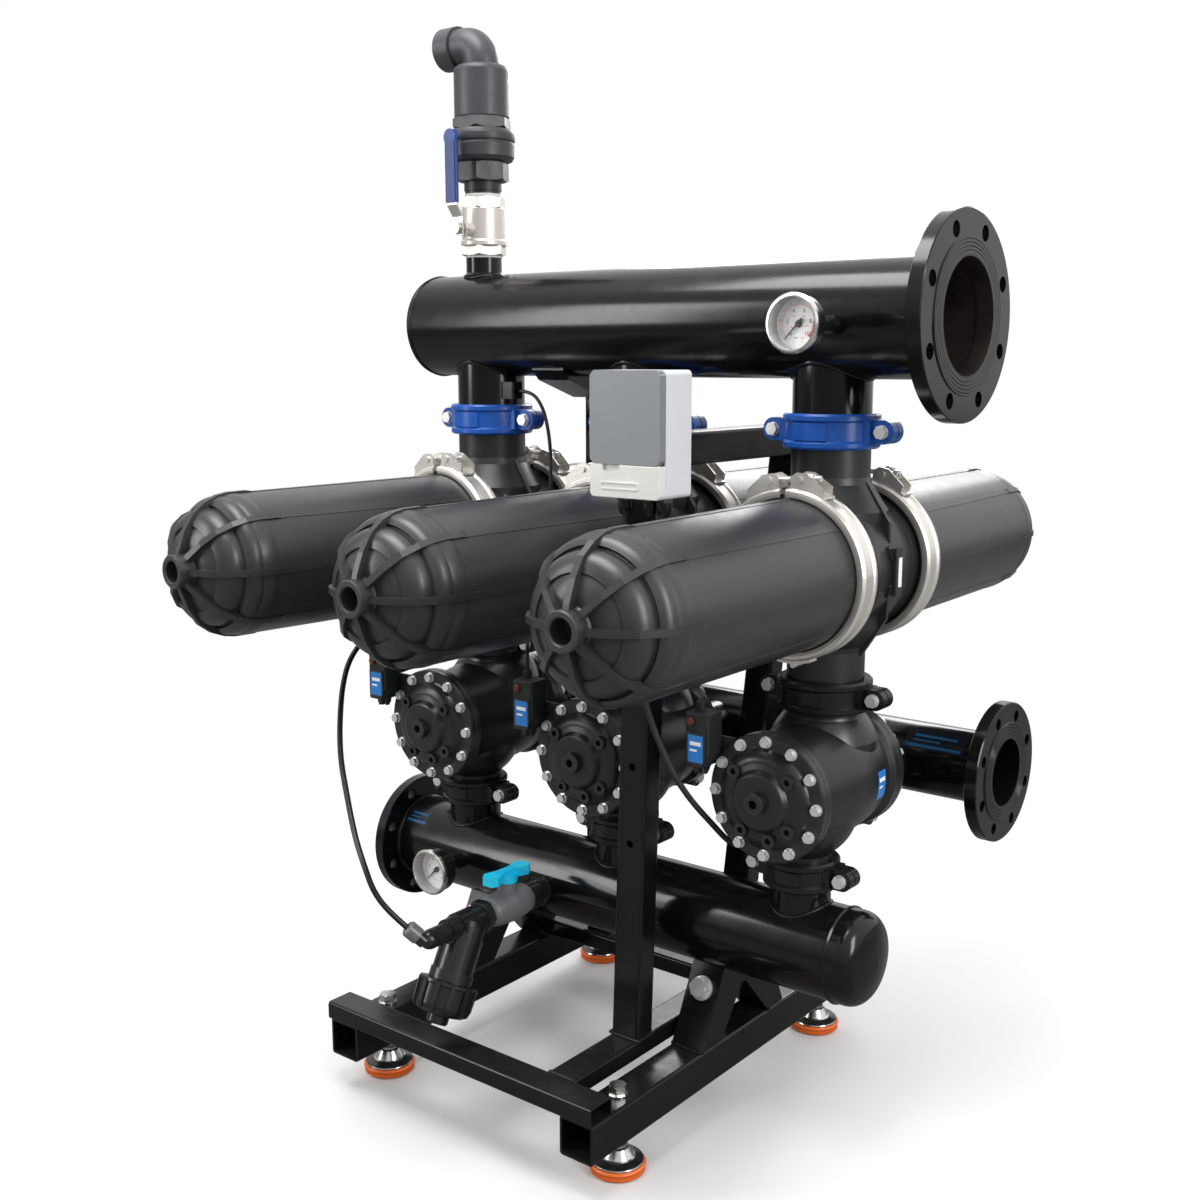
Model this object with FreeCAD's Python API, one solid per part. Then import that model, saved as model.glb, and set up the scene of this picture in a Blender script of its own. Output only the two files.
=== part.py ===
import FreeCAD, Part
import os, math

# Irrigation disc filter battery: three twin-barrel stations on a skid.
# Millimetres. X runs along the manifolds, -Y is the side of the domed front
# barrels and the controller, Z is up, the floor is z = 0.
os.makedirs("parts", exist_ok=True)
V = FreeCAD.Vector

# ---------------- driving dimensions ----------------
OX, OZ = -27.5, -10.0     # shift that puts the origin at the middle of the box, on the floor
PITCH = 332.0             # station pitch along X
STN = [-PITCH, 0.0, PITCH]
TURN = [-4.0, 0.0, 1.5]   # each filter sits slightly turned in its couplings, degrees
Z_UP = 1240.0             # upper manifold axis
R_UP, R_UPI = 84.15, 79.9  # 168.3 pipe
X_UP0, X_UP1 = -450.0, 511.0
FL_UP_R, FL_UP_T, FL_UP_PCD, FL_UP_H = 142.5, 24.0, 240.0, 11.0
FL_UP_BORE = 79.0
R_N4, R_N4I = 57.15, 51.5  # 4 inch necks
R_N3, R_N3I = 44.45, 40.0  # 3 inch stubs
Z_BLUE = 1083.0           # upper coupling height
Z_BAR = 886.0             # barrel axis
Z_CT = 698.0              # coupling above valve
Z_V = 571.0               # valve axis
Z_CB = 438.0              # coupling below valve
Y_LO, Z_LO, R_LO, R_LOI = -57.0, 322.0, 70.65, 66.7
X_LO0, X_LO1 = -458.0, 410.0
FL4_R, FL4_T, FL4_PCD, FL4_H, FL4_BORE = 110.0, 22.0, 180.0, 9.0, 53.0
Y_DR, Z_DR, R_DR, R_DRI = 246.0, 548.0, 57.15, 54.0
X_DR0, X_DR1 = -420.0, 496.0
# barrels
R_BAR, Y_BF, Y_RIDGE, Y_BOSS = 106.0, 104.0, 536.0, 632.0
R_BOSS, R_BORE = 25.0, 15.5
# skid
RAIL_W, RAIL_H, RAIL_T = 60.0, 60.0, 4.0
XR0, XL0 = 146.0, -338.0
Z_R0 = 68.0
Z_R1 = Z_R0 + RAIL_H
Y_RF, Y_RB = -398.0, 352.0
CT_H = 30.0
Z_C1 = Z_R1 + CT_H
Z_FT = 10.0               # underside of the feet before the shift
FEET = [(XR0 + 30, -302.0), (XL0 + 30, -302.0), (XR0 + 30, 272.0), (XL0 + 30, 272.0)]
POST_X0, POST_X1 = 88.0, 138.0   # foot of the posts; they lean a little
POST_DX = 30.0            # lean over the height of the front post


# ---------------- helpers ----------------
def cyl(p, d, r, h):
    return Part.makeCylinder(r, h, V(*p), V(*d))


def tube(p, d, ro, ri, h):
    return cyl(p, d, ro, h).cut(cyl(p, d, ri, h))


def box(x0, x1, y0, y1, z0, z1):
    return Part.makeBox(x1 - x0, y1 - y0, z1 - z0, V(x0, y0, z0))


def rbox(x0, x1, y0, y1, z0, z1, r, ax="z"):
    b = box(x0, x1, y0, y1, z0, z1)
    es = []
    for e in b.Edges:
        t = e.tangentAt(e.FirstParameter)
        if abs({"x": t.x, "y": t.y, "z": t.z}[ax]) > 0.9:
            es.append(e)
    return b.makeFillet(r, es)


def fillet_try(s, r, test):
    es = [e for e in s.Edges if test(e)]
    if not es:
        return s
    try:
        f = s.makeFillet(r, es)
        if f.isValid() and f.Volume > 0:
            return f
    except Exception:
        pass
    return s


def fuse(*a):
    a = [x for x in a if x is not None]
    s = a[0].multiFuse(list(a[1:])) if len(a) > 1 else a[0]
    return s.removeSplitter()


def prof(pts, closed=True):
    # pts: (r, a) tuples; a 4-tuple (rm, am, r, a) is an arc through (rm, am)
    es = []
    cur = pts[0]
    for p in pts[1:]:
        if len(p) == 2:
            es.append(Part.LineSegment(V(cur[0], 0, cur[1]), V(p[0], 0, p[1])).toShape())
            cur = p
        else:
            es.append(Part.Arc(V(cur[0], 0, cur[1]), V(p[0], 0, p[1]), V(p[2], 0, p[3])).toShape())
            cur = (p[2], p[3])
    if closed:
        es.append(Part.LineSegment(V(cur[0], 0, cur[1]), V(pts[0][0], 0, pts[0][1])).toShape())
    return Part.Face(Part.Wire(es))


def rev(pts):
    return prof(pts).revolve(V(0, 0, 0), V(0, 0, 1), 360)


def place(s, pos, d):
    s = s.copy()
    s.Placement = FreeCAD.Placement(V(*pos), FreeCAD.Rotation(V(0, 0, 1), V(*d))).multiply(s.Placement)
    return s


def hexp(af, h, pos=(0, 0, 0), d=(0, 0, 1)):
    r = af / math.sqrt(3)
    w = Part.makePolygon([V(r * math.cos(math.radians(60 * i)), r * math.sin(math.radians(60 * i)), 0) for i in range(7)])
    s = Part.Face(w).extrude(V(0, 0, h))
    c = rev([(0, 0), (af / 2 + 0.1, 0), (r + 0.3, (r - af / 2) * 0.55), (r + 0.3, h - (r - af / 2) * 0.55), (af / 2 + 0.1, h), (0, h)])
    return place(s.common(c), pos, d)


def polyx(pts, x0, x1):
    # polygon in the YZ plane, extruded along X
    w = Part.makePolygon([V(x0, p[0], p[1]) for p in pts + [pts[0]]])
    return Part.Face(w).extrude(V(x1 - x0, 0, 0))


def polyz(pts, z0, z1):
    w = Part.makePolygon([V(p[0], p[1], z0) for p in pts + [pts[0]]])
    return Part.Face(w).extrude(V(0, 0, z1 - z0))


def rot(s, c, ax, a):
    s = s.copy()
    s.rotate(V(*c), V(*ax), a)
    return s


NODES = {}


def out(name, *solids):
    L = []
    for s in solids:
        L += list(s.Solids) if s.Solids else [s]
    c = Part.makeCompound(L) if len(L) > 1 else L[0]
    c = c.copy()
    c.translate(V(OX, 0, OZ))
    NODES[name] = c
    c.exportStep("parts/%s.step" % name)


def bolt(pos, d, r, length, af, hh, wr=None, wt=2.0):
    # head outside at pos, pointing along d; the shank goes the other way
    p = V(*pos)
    dv = V(*d)
    s = hexp(af, hh, (0, 0, wt), (0, 0, 1))
    s = fuse(s, cyl((0, 0, 0), (0, 0, 1), wr or af * 0.62, wt), cyl((0, 0, -length), (0, 0, 1), r, length + wt))
    return place(s, pos, d)


# ---------------- tubes of the skid ----------------
def rect_tube(x0, x1, y0, y1, z0, z1, t, ax):
    b = rbox(x0, x1, y0, y1, z0, z1, 5.0, ax)
    if ax == "x":
        return b.cut(rbox(x0, x1, y0 + t, y1 - t, z0 + t, z1 - t, 2.0, ax))
    if ax == "y":
        return b.cut(rbox(x0 + t, x1 - t, y0, y1, z0 + t, z1 - t, 2.0, ax))
    return b.cut(rbox(x0 + t, x1 - t, y0 + t, y1 - t, z0, z1, 2.0, ax))


rails = []
for x0 in (XR0, XL0):
    r_ = rect_tube(x0, x0 + RAIL_W, Y_RF, Y_RB, Z_R0, Z_R1, RAIL_T, "y")
    for fx, fy in FEET:
        r_ = r_.cut(cyl((fx, fy, Z_R0 - 1), (0, 0, 1), 8.6, RAIL_H + 2))
    rails.append(r_)
out("skid_rails", *rails)

ct1 = rect_tube(XL0, XR0 + RAIL_W, -404, -354, Z_R1, Z_C1, 3.0, "x")
ct2 = rect_tube(XL0, XR0 + RAIL_W, 300, 350, Z_R1, Z_C1, 3.0, "x")
ct3 = rect_tube(XL0, POST_X0 - 0.2, 76, 124, Z_R1, Z_C1, 3.0, "x")
out("skid_cross_tubes", ct1, ct2, ct3)
mid = rect_tube(POST_X0, POST_X1, -353.8, 299.8, Z_R1, Z_C1, 3.0, "y")
out("mid_rail", mid)


def rect(x0, x1, y0, y1, z):
    return Part.makePolygon([V(x0, y0, z), V(x1, y0, z), V(x1, y1, z), V(x0, y1, z), V(x0, y0, z)])


def post(x0, x1, y0, y1, z0, z1, holes=(), t=3.0, dx=0.0, dy=0.0):
    # a square tube whose top is offset by dx, dy from its foot
    s = Part.makeLoft([rect(x0, x1, y0, y1, z0), rect(x0 + dx, x1 + dx, y0 + dy, y1 + dy, z1)], True, True)
    s = s.makeFillet(5.0, [e for e in s.Edges if e.Length > 0.9 * (z1 - z0)])
    s = s.cut(Part.makeLoft([rect(x0 + t, x1 - t, y0 + t, y1 - t, z0), rect(x0 + t + dx, x1 - t + dx, y0 + t + dy, y1 - t + dy, z1)], True, True))
    for hz, fr in holes:
        k = (hz - z0) / (z1 - z0)
        s = s.cut(cyl(((x0 + x1) / 2 + fr + dx * k, y0 + dy * k - 2, hz), (0, 1, 0), 6.0, t + 4))
    # weld bead round the foot
    w = rbox(x0 - 3, x1 + 3, y0 - 3, y1 + 3, z0, z0 + 3, 6.0, "z").cut(rbox(x0 + 1, x1 - 1, y0 + 1, y1 - 1, z0 - 1, z0 + 4, 3.0, "z"))
    return fuse(s, w)


FP_Y0, FP_Y1 = -204.0, -164.0
out("front_post", post(POST_X0, POST_X1, FP_Y0, FP_Y1, Z_C1 + 0.1, 1080.0, [(470, 0), (590, 0)], dx=POST_DX))
RR_Y0, RR_Y1 = 72.0, 112.0
out("rear_post_right", post(POST_X0, POST_X1, RR_Y0, RR_Y1, Z_C1 + 0.1, 1030.8, [(900, 0)], dx=POST_DX - 1.5, dy=107.0))
bar = rect_tube(POST_X0 + POST_DX - 1, POST_X1 + POST_DX - 1, FP_Y1 + 0.1, 222.0, 1031.0, 1080.0, 3.0, "y")
out("top_crossbar", bar)
# rear left post with the saddle plate that carries the upper manifold
PLX0, PLX1 = -191.0, -141.0
pl = post(PLX0, PLX1, 80, 120, Z_C1 + 0.1, 1142.0, [(1087, -12)])
cr = box(PLX0 - 8, PLX1 + 8, -46, 96, 1120, 1206)
cr = cr.cut(cyl((PLX0 - 20, 0, Z_UP), (1, 0, 0), R_UP + 0.2, 120))
cr = cr.common(polyx([(-46, 1166), (-30, 1150), (60, 1120), (100, 1120), (100, 1142), (72, 1206), (-46, 1206)], PLX0 - 8, PLX1 + 8))
cr = cr.cut(box(PLX0 - 2, PLX1 + 2, -60, 78, 1100, 1220)) if False else cr
cr = cr.cut(rbox(PLX0 + 0.5, PLX1 - 0.5, 80.5, 119.5, 1100, 1141.9, 4.0, "z"))
out("rear_post_left", fuse(pl, cr))

# manifold saddles: two inclined square legs and a plate on each rail
def arcpt(a):
    return (Y_LO + (R_LO + 0.3) * math.cos(math.radians(a)), Z_LO + (R_LO + 0.3) * math.sin(math.radians(a)))


sad = []
for x0 in (XR0, XL0):
    s = polyx([(-126, Z_R1), (-62, 256), (-30, 262), (40, 268), (60, 240), (112, Z_R1)], x0 + 1, x0 + RAIL_W - 1)
    # the opening between the leaning leg and the rear gusset
    s = s.cut(polyx([(-74, Z_R1 - 1), (-17, 204), (-6, 206), (66, Z_R1 - 1)], x0, x0 + RAIL_W))
    s = s.cut(cyl((x0 - 10, Y_LO, Z_LO), (1, 0, 0), R_LO + 0.2, 100))
    if x0 == XL0:
        s = s.cut(box(x0 - 1, x0 + RAIL_W + 1, 75.8, 130, Z_R1 - 1, Z_C1 + 0.2))
        s = max(s.Solids, key=lambda q: q.Volume)
    # bolt seat, square to the sloping leg
    s = s.cut(cyl((x0 + 30, -126 + 64 * 84 / 128.0 - 0.9 * 3, 212 + 0.45 * 3), (0, 0.894, -0.447), 6.4, 47))
    sad.append(s)
out("manifold_saddles", *sad)
sb = []
for x0 in (XR0, XL0):
    # the front face of the leg rises from (-126, 128) to (-62, 256)
    d = (0, -0.8944, 0.4472)
    sb.append(bolt((x0 + 30, -126 + 64 * 84 / 128.0 + d[1] * 0.2, 212 + d[2] * 0.2), d, 6.2, 40, 27, 13, 19, 4))
out("saddle_bolts", *sb)

# levelling feet
pads, studs = [], []
for fx, fy in FEET:
    pads.append(place(rev([(0, 0), (38, 0), (41, 2.5), (41, 8), (42.5, 12), (40, 15), (38, 15), (38, 11), (0, 11)]), (fx, fy, Z_FT), (0, 0, 1)))
    zt = Z_R1 - Z_FT
    st = rev([(0, 11.2), (37.6, 11.2), (37.6, 15.6), (39, 17), (38, 19), (30, 21), (27, 22), (24, 24), (17, 37), (14, 39), (14, 43), (8.2, 44), (8.2, zt + 0.2), (0, zt + 0.2)])
    hx = fuse(hexp(24, 13, (0, 0, zt + 2.6)), cyl((0, 0, zt + 0.1), (0, 0, 1), 15, 2.5), hexp(26, 13, (0, 0, zt - RAIL_H - 13.2)))
    studs.append(place(fuse(st, hx), (fx, fy, Z_FT), (0, 0, 1)))
out("foot_pads", *pads)
out("foot_studs", *studs)


# ---------------- manifolds ----------------
def flange(x_face, sx, y, z, R, T, pcd, hr, bore, rr, serr=True):
    # flange with its face at x_face, looking along sx
    s = rev([(bore, 0), (R - 1.5, 0), (R, 1.5), (R, T - 3.5), (R - 1.5, T - 2), (rr, T - 2), (rr - 1, T), (bore, T)])
    if serr:
        for rg in range(int(bore) + 7, int(rr) - 3, 5):
            g = rev([(rg, T + 0.1), (rg + 1.4, T + 0.1), (rg + 0.7, T - 0.8)])
            s = s.cut(g)
    for k in range(8):
        a = math.radians(22.5 + 45 * k)
        s = s.cut(cyl((pcd / 2 * math.cos(a), pcd / 2 * math.sin(a), -1), (0, 0, 1), hr, T + 2))
    return place(s, (x_face - sx * T, y, z), (sx, 0, 0))


def bead(x, y, z, d, r, w=5.0):
    return place(rev([(r - 0.4, -w / 2), (r + 0.3, -w / 2), (r + w * 0.55, 0), (r + 0.3, w / 2), (r - 0.4, w / 2)]), (x, y, z), d)


um = cyl((X_UP0, 0, Z_UP), (1, 0, 0), R_UP, X_UP1 - X_UP0)
for x in STN:
    um = um.fuse(cyl((x, 0, Z_BLUE + 1), (0, 0, 1), R_N4, 120))
um = um.fuse(cyl((-345, 0, Z_UP), (0, 0, 1), 30.15, 116))
um = um.fuse(cyl((383, 0, Z_UP - 10), (0, -1, 0), 13.0, 98))
um = um.fuse(bead(X_UP0 + 7, 0, Z_UP, (1, 0, 0), R_UP, 4))
um = um.fuse(bead(X_UP1 - 4, 0, Z_UP, (1, 0, 0), R_UP, 7))
um = um.fuse(bead(-345, 0, Z_UP + 83.5, (0, 0, 1), 30.15, 8))
um = um.cut(cyl((X_UP0 + 6, 0, Z_UP), (1, 0, 0), R_UPI, X_UP1 - X_UP0))
for x in STN:
    um = um.cut(cyl((x, 0, Z_BLUE), (0, 0, 1), R_N4I, 110))
    um = um.cut(tube((x, 0, Z_BLUE + 15), (0, 0, 1), R_N4 + 1, R_N4 - 2.2, 9))
um = um.cut(cyl((-345, 0, Z_UP), (0, 0, 1), 26.5, 120))
um = um.cut(cyl((383, 0, Z_UP - 10), (0, -1, 0), 7.0, 100))
um = um.removeSplitter()
# riser weld beads
for x in STN:
    b = tube((x, 0, Z_UP - 80), (0, 0, 1), R_N4 + 3.2, R_N4 - 0.5, 22).cut(cyl((X_UP0, 0, Z_UP), (1, 0, 0), R_UP - 1, 990))
    ring = tube((X_UP0, 0, Z_UP), (1, 0, 0), R_UP + 2.4, R_UP - 1, 990)
    b = b.common(ring)
    um = um.fuse(b)
um = um.removeSplitter()
# small cable block on the left riser
um = um.fuse(rbox(-332 + 50, -332 + 76, -30, -4, 1118, 1146, 3, "z").cut(cyl((-332, 0, 1100), (0, 0, 1), R_N4 - 3, 60)))
um = um.removeSplitter()
uf = flange(535.0, 1, 0, Z_UP, FL_UP_R, FL_UP_T, FL_UP_PCD, FL_UP_H, FL_UP_BORE, 106.0)
# the flanges are welded on: pipe and flange are one weldment
out("upper_manifold", fuse(um, uf))

GLX, GLZ = -304.0, Z_LO + 4.0   # lower gauge
SX, SZ = -104.0, Z_LO + 4.0     # sampling line
lm = cyl((X_LO0, Y_LO, Z_LO), (1, 0, 0), R_LO, X_LO1 - X_LO0)
# dished cap
ca = R_LO - 22
cr = (ca * ca + 81.0) / 18.0     # the dish is part of a sphere
cap = rev([(0, 0), (R_LO, 0), (R_LO, 14), (R_LO - 5, 32, ca, 43), (ca / 2, 52 - cr + math.sqrt(cr * cr - ca * ca / 4), 0, 52)])
lm = lm.fuse(place(cap, (X_LO1, Y_LO, Z_LO), (1, 0, 0)))
lm = lm.fuse(bead(X_LO1, Y_LO, Z_LO, (1, 0, 0), R_LO, 5))
lm = lm.fuse(bead(X_LO0 + 2, Y_LO, Z_LO, (1, 0, 0), R_LO, 5))
for x in STN:
    lm = lm.fuse(cyl((x, Y_LO, Z_LO), (0, 0, 1), R_N3, Z_CB - 1 - Z_LO))
lm = lm.fuse(cyl((GLX, Y_LO, GLZ), (0, -1, 0), 13.0, 86))
lm = lm.fuse(cyl((SX, Y_LO, SZ), (0, -1, 0), 17.0, 85))
lm = lm.cut(cyl((X_LO0 - 1, Y_LO, Z_LO), (1, 0, 0), R_LOI, X_LO1 - X_LO0 + 1))
lm = lm.cut(place(rev([(0, -6), (R_LOI, -6), (R_LOI, 13), (R_LOI - 5, 29, R_LOI - 22, 38.5), (0, 46.5)]), (X_LO1, Y_LO, Z_LO), (1, 0, 0)))
for x in STN:
    lm = lm.cut(cyl((x, Y_LO, Z_LO), (0, 0, 1), R_N3I, 120))
    lm = lm.cut(tube((x, Y_LO, Z_CB - 18), (0, 0, 1), R_N3 + 1, R_N3 - 2, 9))
lm = lm.cut(cyl((GLX, Y_LO, GLZ), (0, -1, 0), 7.0, 100))
lm = lm.cut(cyl((SX, Y_LO, SZ), (0, -1, 0), 12.0, 100))
lm = lm.removeSplitter()
for x in STN:
    b = tube((x, Y_LO, Z_LO + 36), (0, 0, 1), R_N3 + 3.2, R_N3 - 0.5, 40)
    ring = tube((X_LO0, Y_LO, Z_LO), (1, 0, 0), R_LO + 2.4, R_LO - 1, 930)
    lm = lm.fuse(b.common(ring))
lm = lm.removeSplitter()
lf = flange(X_LO0 - FL4_T, -1, Y_LO, Z_LO, FL4_R, FL4_T, FL4_PCD, FL4_H, FL4_BORE, 78.0)
out("lower_manifold", fuse(lm, lf))

dm = cyl((X_DR0, Y_DR, Z_DR), (1, 0, 0), R_DR, X_DR1 - X_DR0)
dm = dm.fuse(bead(X_DR0 + 5, Y_DR, Z_DR, (1, 0, 0), R_DR, 4)).fuse(bead(X_DR1 - 3, Y_DR, Z_DR, (1, 0, 0), R_DR, 6))
for x in STN:
    dm = dm.fuse(cyl((x, 131, Z_DR), (0, 1, 0), R_N3, 110))
dm = dm.cut(cyl((X_DR0 + 5, Y_DR, Z_DR), (1, 0, 0), R_DRI, X_DR1 - X_DR0))
for x in STN:
    dm = dm.cut(cyl((x, 130, Z_DR), (0, 1, 0), R_N3I, 110))
    dm = dm.cut(tube((x, 146, Z_DR), (0, 1, 0), R_N3 + 1, R_N3 - 2, 9))
dm = dm.removeSplitter()
df = flange(X_DR1 + FL4_T, 1, Y_DR, Z_DR, FL4_R, FL4_T, FL4_PCD, FL4_H, FL4_BORE, 79.0)
out("drain_manifold", fuse(dm, df))


# ---------------- couplings ----------------
def coupling(pos, d, rp, ro, h, pad, boff, lug_h, roll=0, decor=True):
    hs = []
    hz = h / 2.0
    body = rev([(rp + 0.15, -hz), (ro - 3, -hz), (ro, -hz + 3), (ro, -hz + 9), (ro - 3.5, -hz + 12), (ro - 3.5, hz - 12), (ro, hz - 9),
                (ro, hz - 3), (ro - 3, hz), (rp + 0.15, hz), (rp + 0.15, hz - 9), (rp + 7, hz - 10), (rp + 7, -hz + 10), (rp + 0.15, -hz + 9)])
    lugs = []
    for sx in (1, -1):
        l = box(min(sx * (ro - 9), sx * (pad - lug_h / 2)), max(sx * (ro - 9), sx * (pad - lug_h / 2)), -15, 15, -lug_h / 2, lug_h / 2)
        l = l.fuse(cyl((sx * (pad - lug_h / 2), -15, 0), (0, 1, 0), lug_h / 2, 30))
        # swelling between the lug and the ring
        l = l.fuse(box(min(sx * (ro - 12), sx * (ro + 3)), max(sx * (ro - 12), sx * (ro + 3)), -24, 24, -lug_h / 2 + 1, lug_h / 2 - 1))
        l = l.cut(cyl((0, 0, -50), (0, 0, 1), rp + 9, 100))
        lugs.append(l)
    b = body.multiFuse(lugs)
    for sx in (1, -1):
        b = b.cut(cyl((sx * boff, -60, 0), (0, 1, 0), 5.6, 120))
    if decor:
        # raised panel on the crown of each half
        for sy in (1, -1):
            pnl = box(-26, 26, -ro - 1.2, -ro + 12, -hz + 13, hz - 13)
            pnl = pnl.common(tube((0, 0, -50), (0, 0, 1), ro - 0.8, max(ro - 6, rp + 7.4), 100))
            b = b.fuse(rot(pnl, (0, 0, 0), (0, 0, 1), 0 if sy > 0 else 180))
    for sy in (1, -1):
        half = b.common(box(-200, 200, 1.0, 200, -60, 60) if sy > 0 else box(-200, 200, -200, -1.0, -60, 60))
        hs.append(max(half.Solids, key=lambda q: q.Volume))
    ring = tube((0, 0, -hz + 10.5), (0, 0, 1), rp + 6.8, rp + 0.1, h - 21)
    bl = []
    for sx in (1, -1):
        bb = bolt((sx * boff, -15.1, 0), (0, -1, 0), 5.0, 42, 17, 7, 10, 2)
        nn = hexp(17, 9, (sx * boff, 15.1, 0), (0, 1, 0)).cut(cyl((sx * boff, 10, 0), (0, 1, 0), 5.05, 30))
        bl += [bb, nn]

    def tr(s):
        return place(rot(s, (0, 0, 0), (0, 0, 1), roll), pos, d)
    return [tr(s) for s in hs], [tr(ring)], [tr(s) for s in bl]


blue, black, gask, cbolts = [], [], [], []
for x in STN:
    a, g, b = coupling((x, 0, Z_BLUE), (0, 0, 1), R_N4, 70, 50, 106, 88, 34)
    blue += a; gask += g; cbolts += b
    a, g, b = coupling((x, 0, Z_CT), (0, 0, 1), R_N4, 70, 46, 104, 87, 30)
    black += a; gask += g; cbolts += b
    a, g, b = coupling((x, Y_LO, Z_CB), (0, 0, 1), R_N3, 57, 44, 90, 73, 30)
    black += a; gask += g; cbolts += b
    a, g, b = coupling((x, 130, Z_DR), (0, 1, 0), R_N3, 57, 40, 90, 73, 28, roll=90)
    black += a; gask += g; cbolts += b
out("blue_couplings", *blue)
out("black_couplings", *black)
out("coupling_gaskets", *gask)
out("coupling_bolts", *cbolts)


# ---------------- filter bodies ----------------
def filter_body():
    drum = rev([(0, -Y_BF), (113, -Y_BF), (113, -Y_BF + 9), (104, -Y_BF + 13), (101, -70), (101, -44), (105, -40), (105, 40), (101, 44),
                (101, 70), (104, Y_BF - 13), (113, Y_BF - 9), (113, Y_BF), (0, Y_BF)])
    drum = place(drum, (0, 0, 0), (0, 1, 0))
    # upper neck with a flare into the drum, lower neck
    neck = rev([(0, 60), (84, 60), (84, 84), (66, 112, 60, 122), (R_N4, 132), (R_N4, Z_BLUE - 1 - Z_BAR), (0, Z_BLUE - 1 - Z_BAR)])
    neck2 = rev([(0, 60), (84, 60), (84, 84), (66, 108, 60, 114), (R_N4, 122), (R_N4, Z_BAR - Z_CT - 1), (0, Z_BAR - Z_CT - 1)])
    s = drum.fuse(neck).fuse(rot(neck2, (0, 0, 0), (1, 0, 0), 180))
    # side lugs and webs
    for sx in (1, -1):
        s = s.fuse(rbox(sx * 106 - 8, sx * 106 + 8, -9, 9, -34, 34, 3, "z"))
        for yy in (-58, 58):
            s = s.fuse(rev([(100, yy - 3), (108, yy - 2), (108, yy + 2), (100, yy + 3)]).rotate(V(0, 0, 0), V(1, 0, 0), -90) or s) if False else s
    # web ribs between neck and drum, along Y
    for sz in (1, -1):
        w = polyx([(-96, 96), (-58, 112), (-50, 140), (50, 140), (58, 112), (96, 96), (96, 80), (-96, 80)], -3.5, 3.5)
        s = s.fuse(w if sz > 0 else rot(w, (0, 0, 0), (1, 0, 0), 180))
        w2 = Part.Face(Part.makePolygon([V(-98, 0, 20), V(-96, 0, 70), V(-58, 0, 128), V(58, 0, 128), V(96, 0, 70), V(98, 0, 20), V(-98, 0, 20)])).extrude(V(0, 7, 0))
        w2.translate(V(0, -3.5, 0))
        s = s.fuse(w2 if sz > 0 else rot(w2, (0, 0, 0), (1, 0, 0), 180))
    # wavy moulded seam: a ring of pads round the drum
    for k in range(12):
        a = 30 * k + 15
        p = rbox(99, 108.5, -15, 15, -10, 10, 4, "x")
        s = s.fuse(rot(p, (0, 0, 0), (0, 1, 0), a))
    # inside: drum bore between the cover faces and the two necks; a wall splits inlet from outlet
    inner = rev([(0, -Y_BF - 1), (95, -Y_BF - 1), (95, -16), (0, -16)])
    inner2 = rev([(0, 16), (95, 16), (95, Y_BF + 1), (0, Y_BF + 1)])
    s = s.cut(place(inner, (0, 0, 0), (0, 1, 0))).cut(place(inner2, (0, 0, 0), (0, 1, 0)))
    s = s.cut(cyl((0, 0, 20), (0, 0, 1), R_N4I, 200)).cut(cyl((0, 0, -20), (0, 0, -1), R_N4I, 200))
    # spigots for the stack spines, fed from the upper neck
    s = s.fuse(tube((0, 15, 0), (0, 1, 0), 30, 22, 40)).fuse(tube((0, -55, 0), (0, 1, 0), 30, 22, 40))
    s = s.cut(cyl((0, -60, 0), (0, 1, 0), 22, 120)).cut(cyl((0, 0, 0), (0, 0, 1), 16, 60))
    # coupling grooves
    s = s.cut(tube((0, 0, Z_BLUE - Z_BAR - 25), (0, 0, 1), R_N4 + 1, R_N4 - 2.2, 9))
    s = s.cut(tube((0, 0, -(Z_BAR - Z_CT) + 16), (0, 0, 1), R_N4 + 1, R_N4 - 2.2, 9))
    s = s.removeSplitter()
    return max(s.Solids, key=lambda q: q.Volume)


def turned(s, x):
    return rot(s, (x, 0, 0), (0, 0, 1), TURN[STN.index(x)])


fb = filter_body()
for n, x in zip(("left", "middle", "right"), STN):
    s = fb.copy()
    s.translate(V(x, 0, Z_BAR))
    out("filter_body_" + n, turned(s, x))


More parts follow.
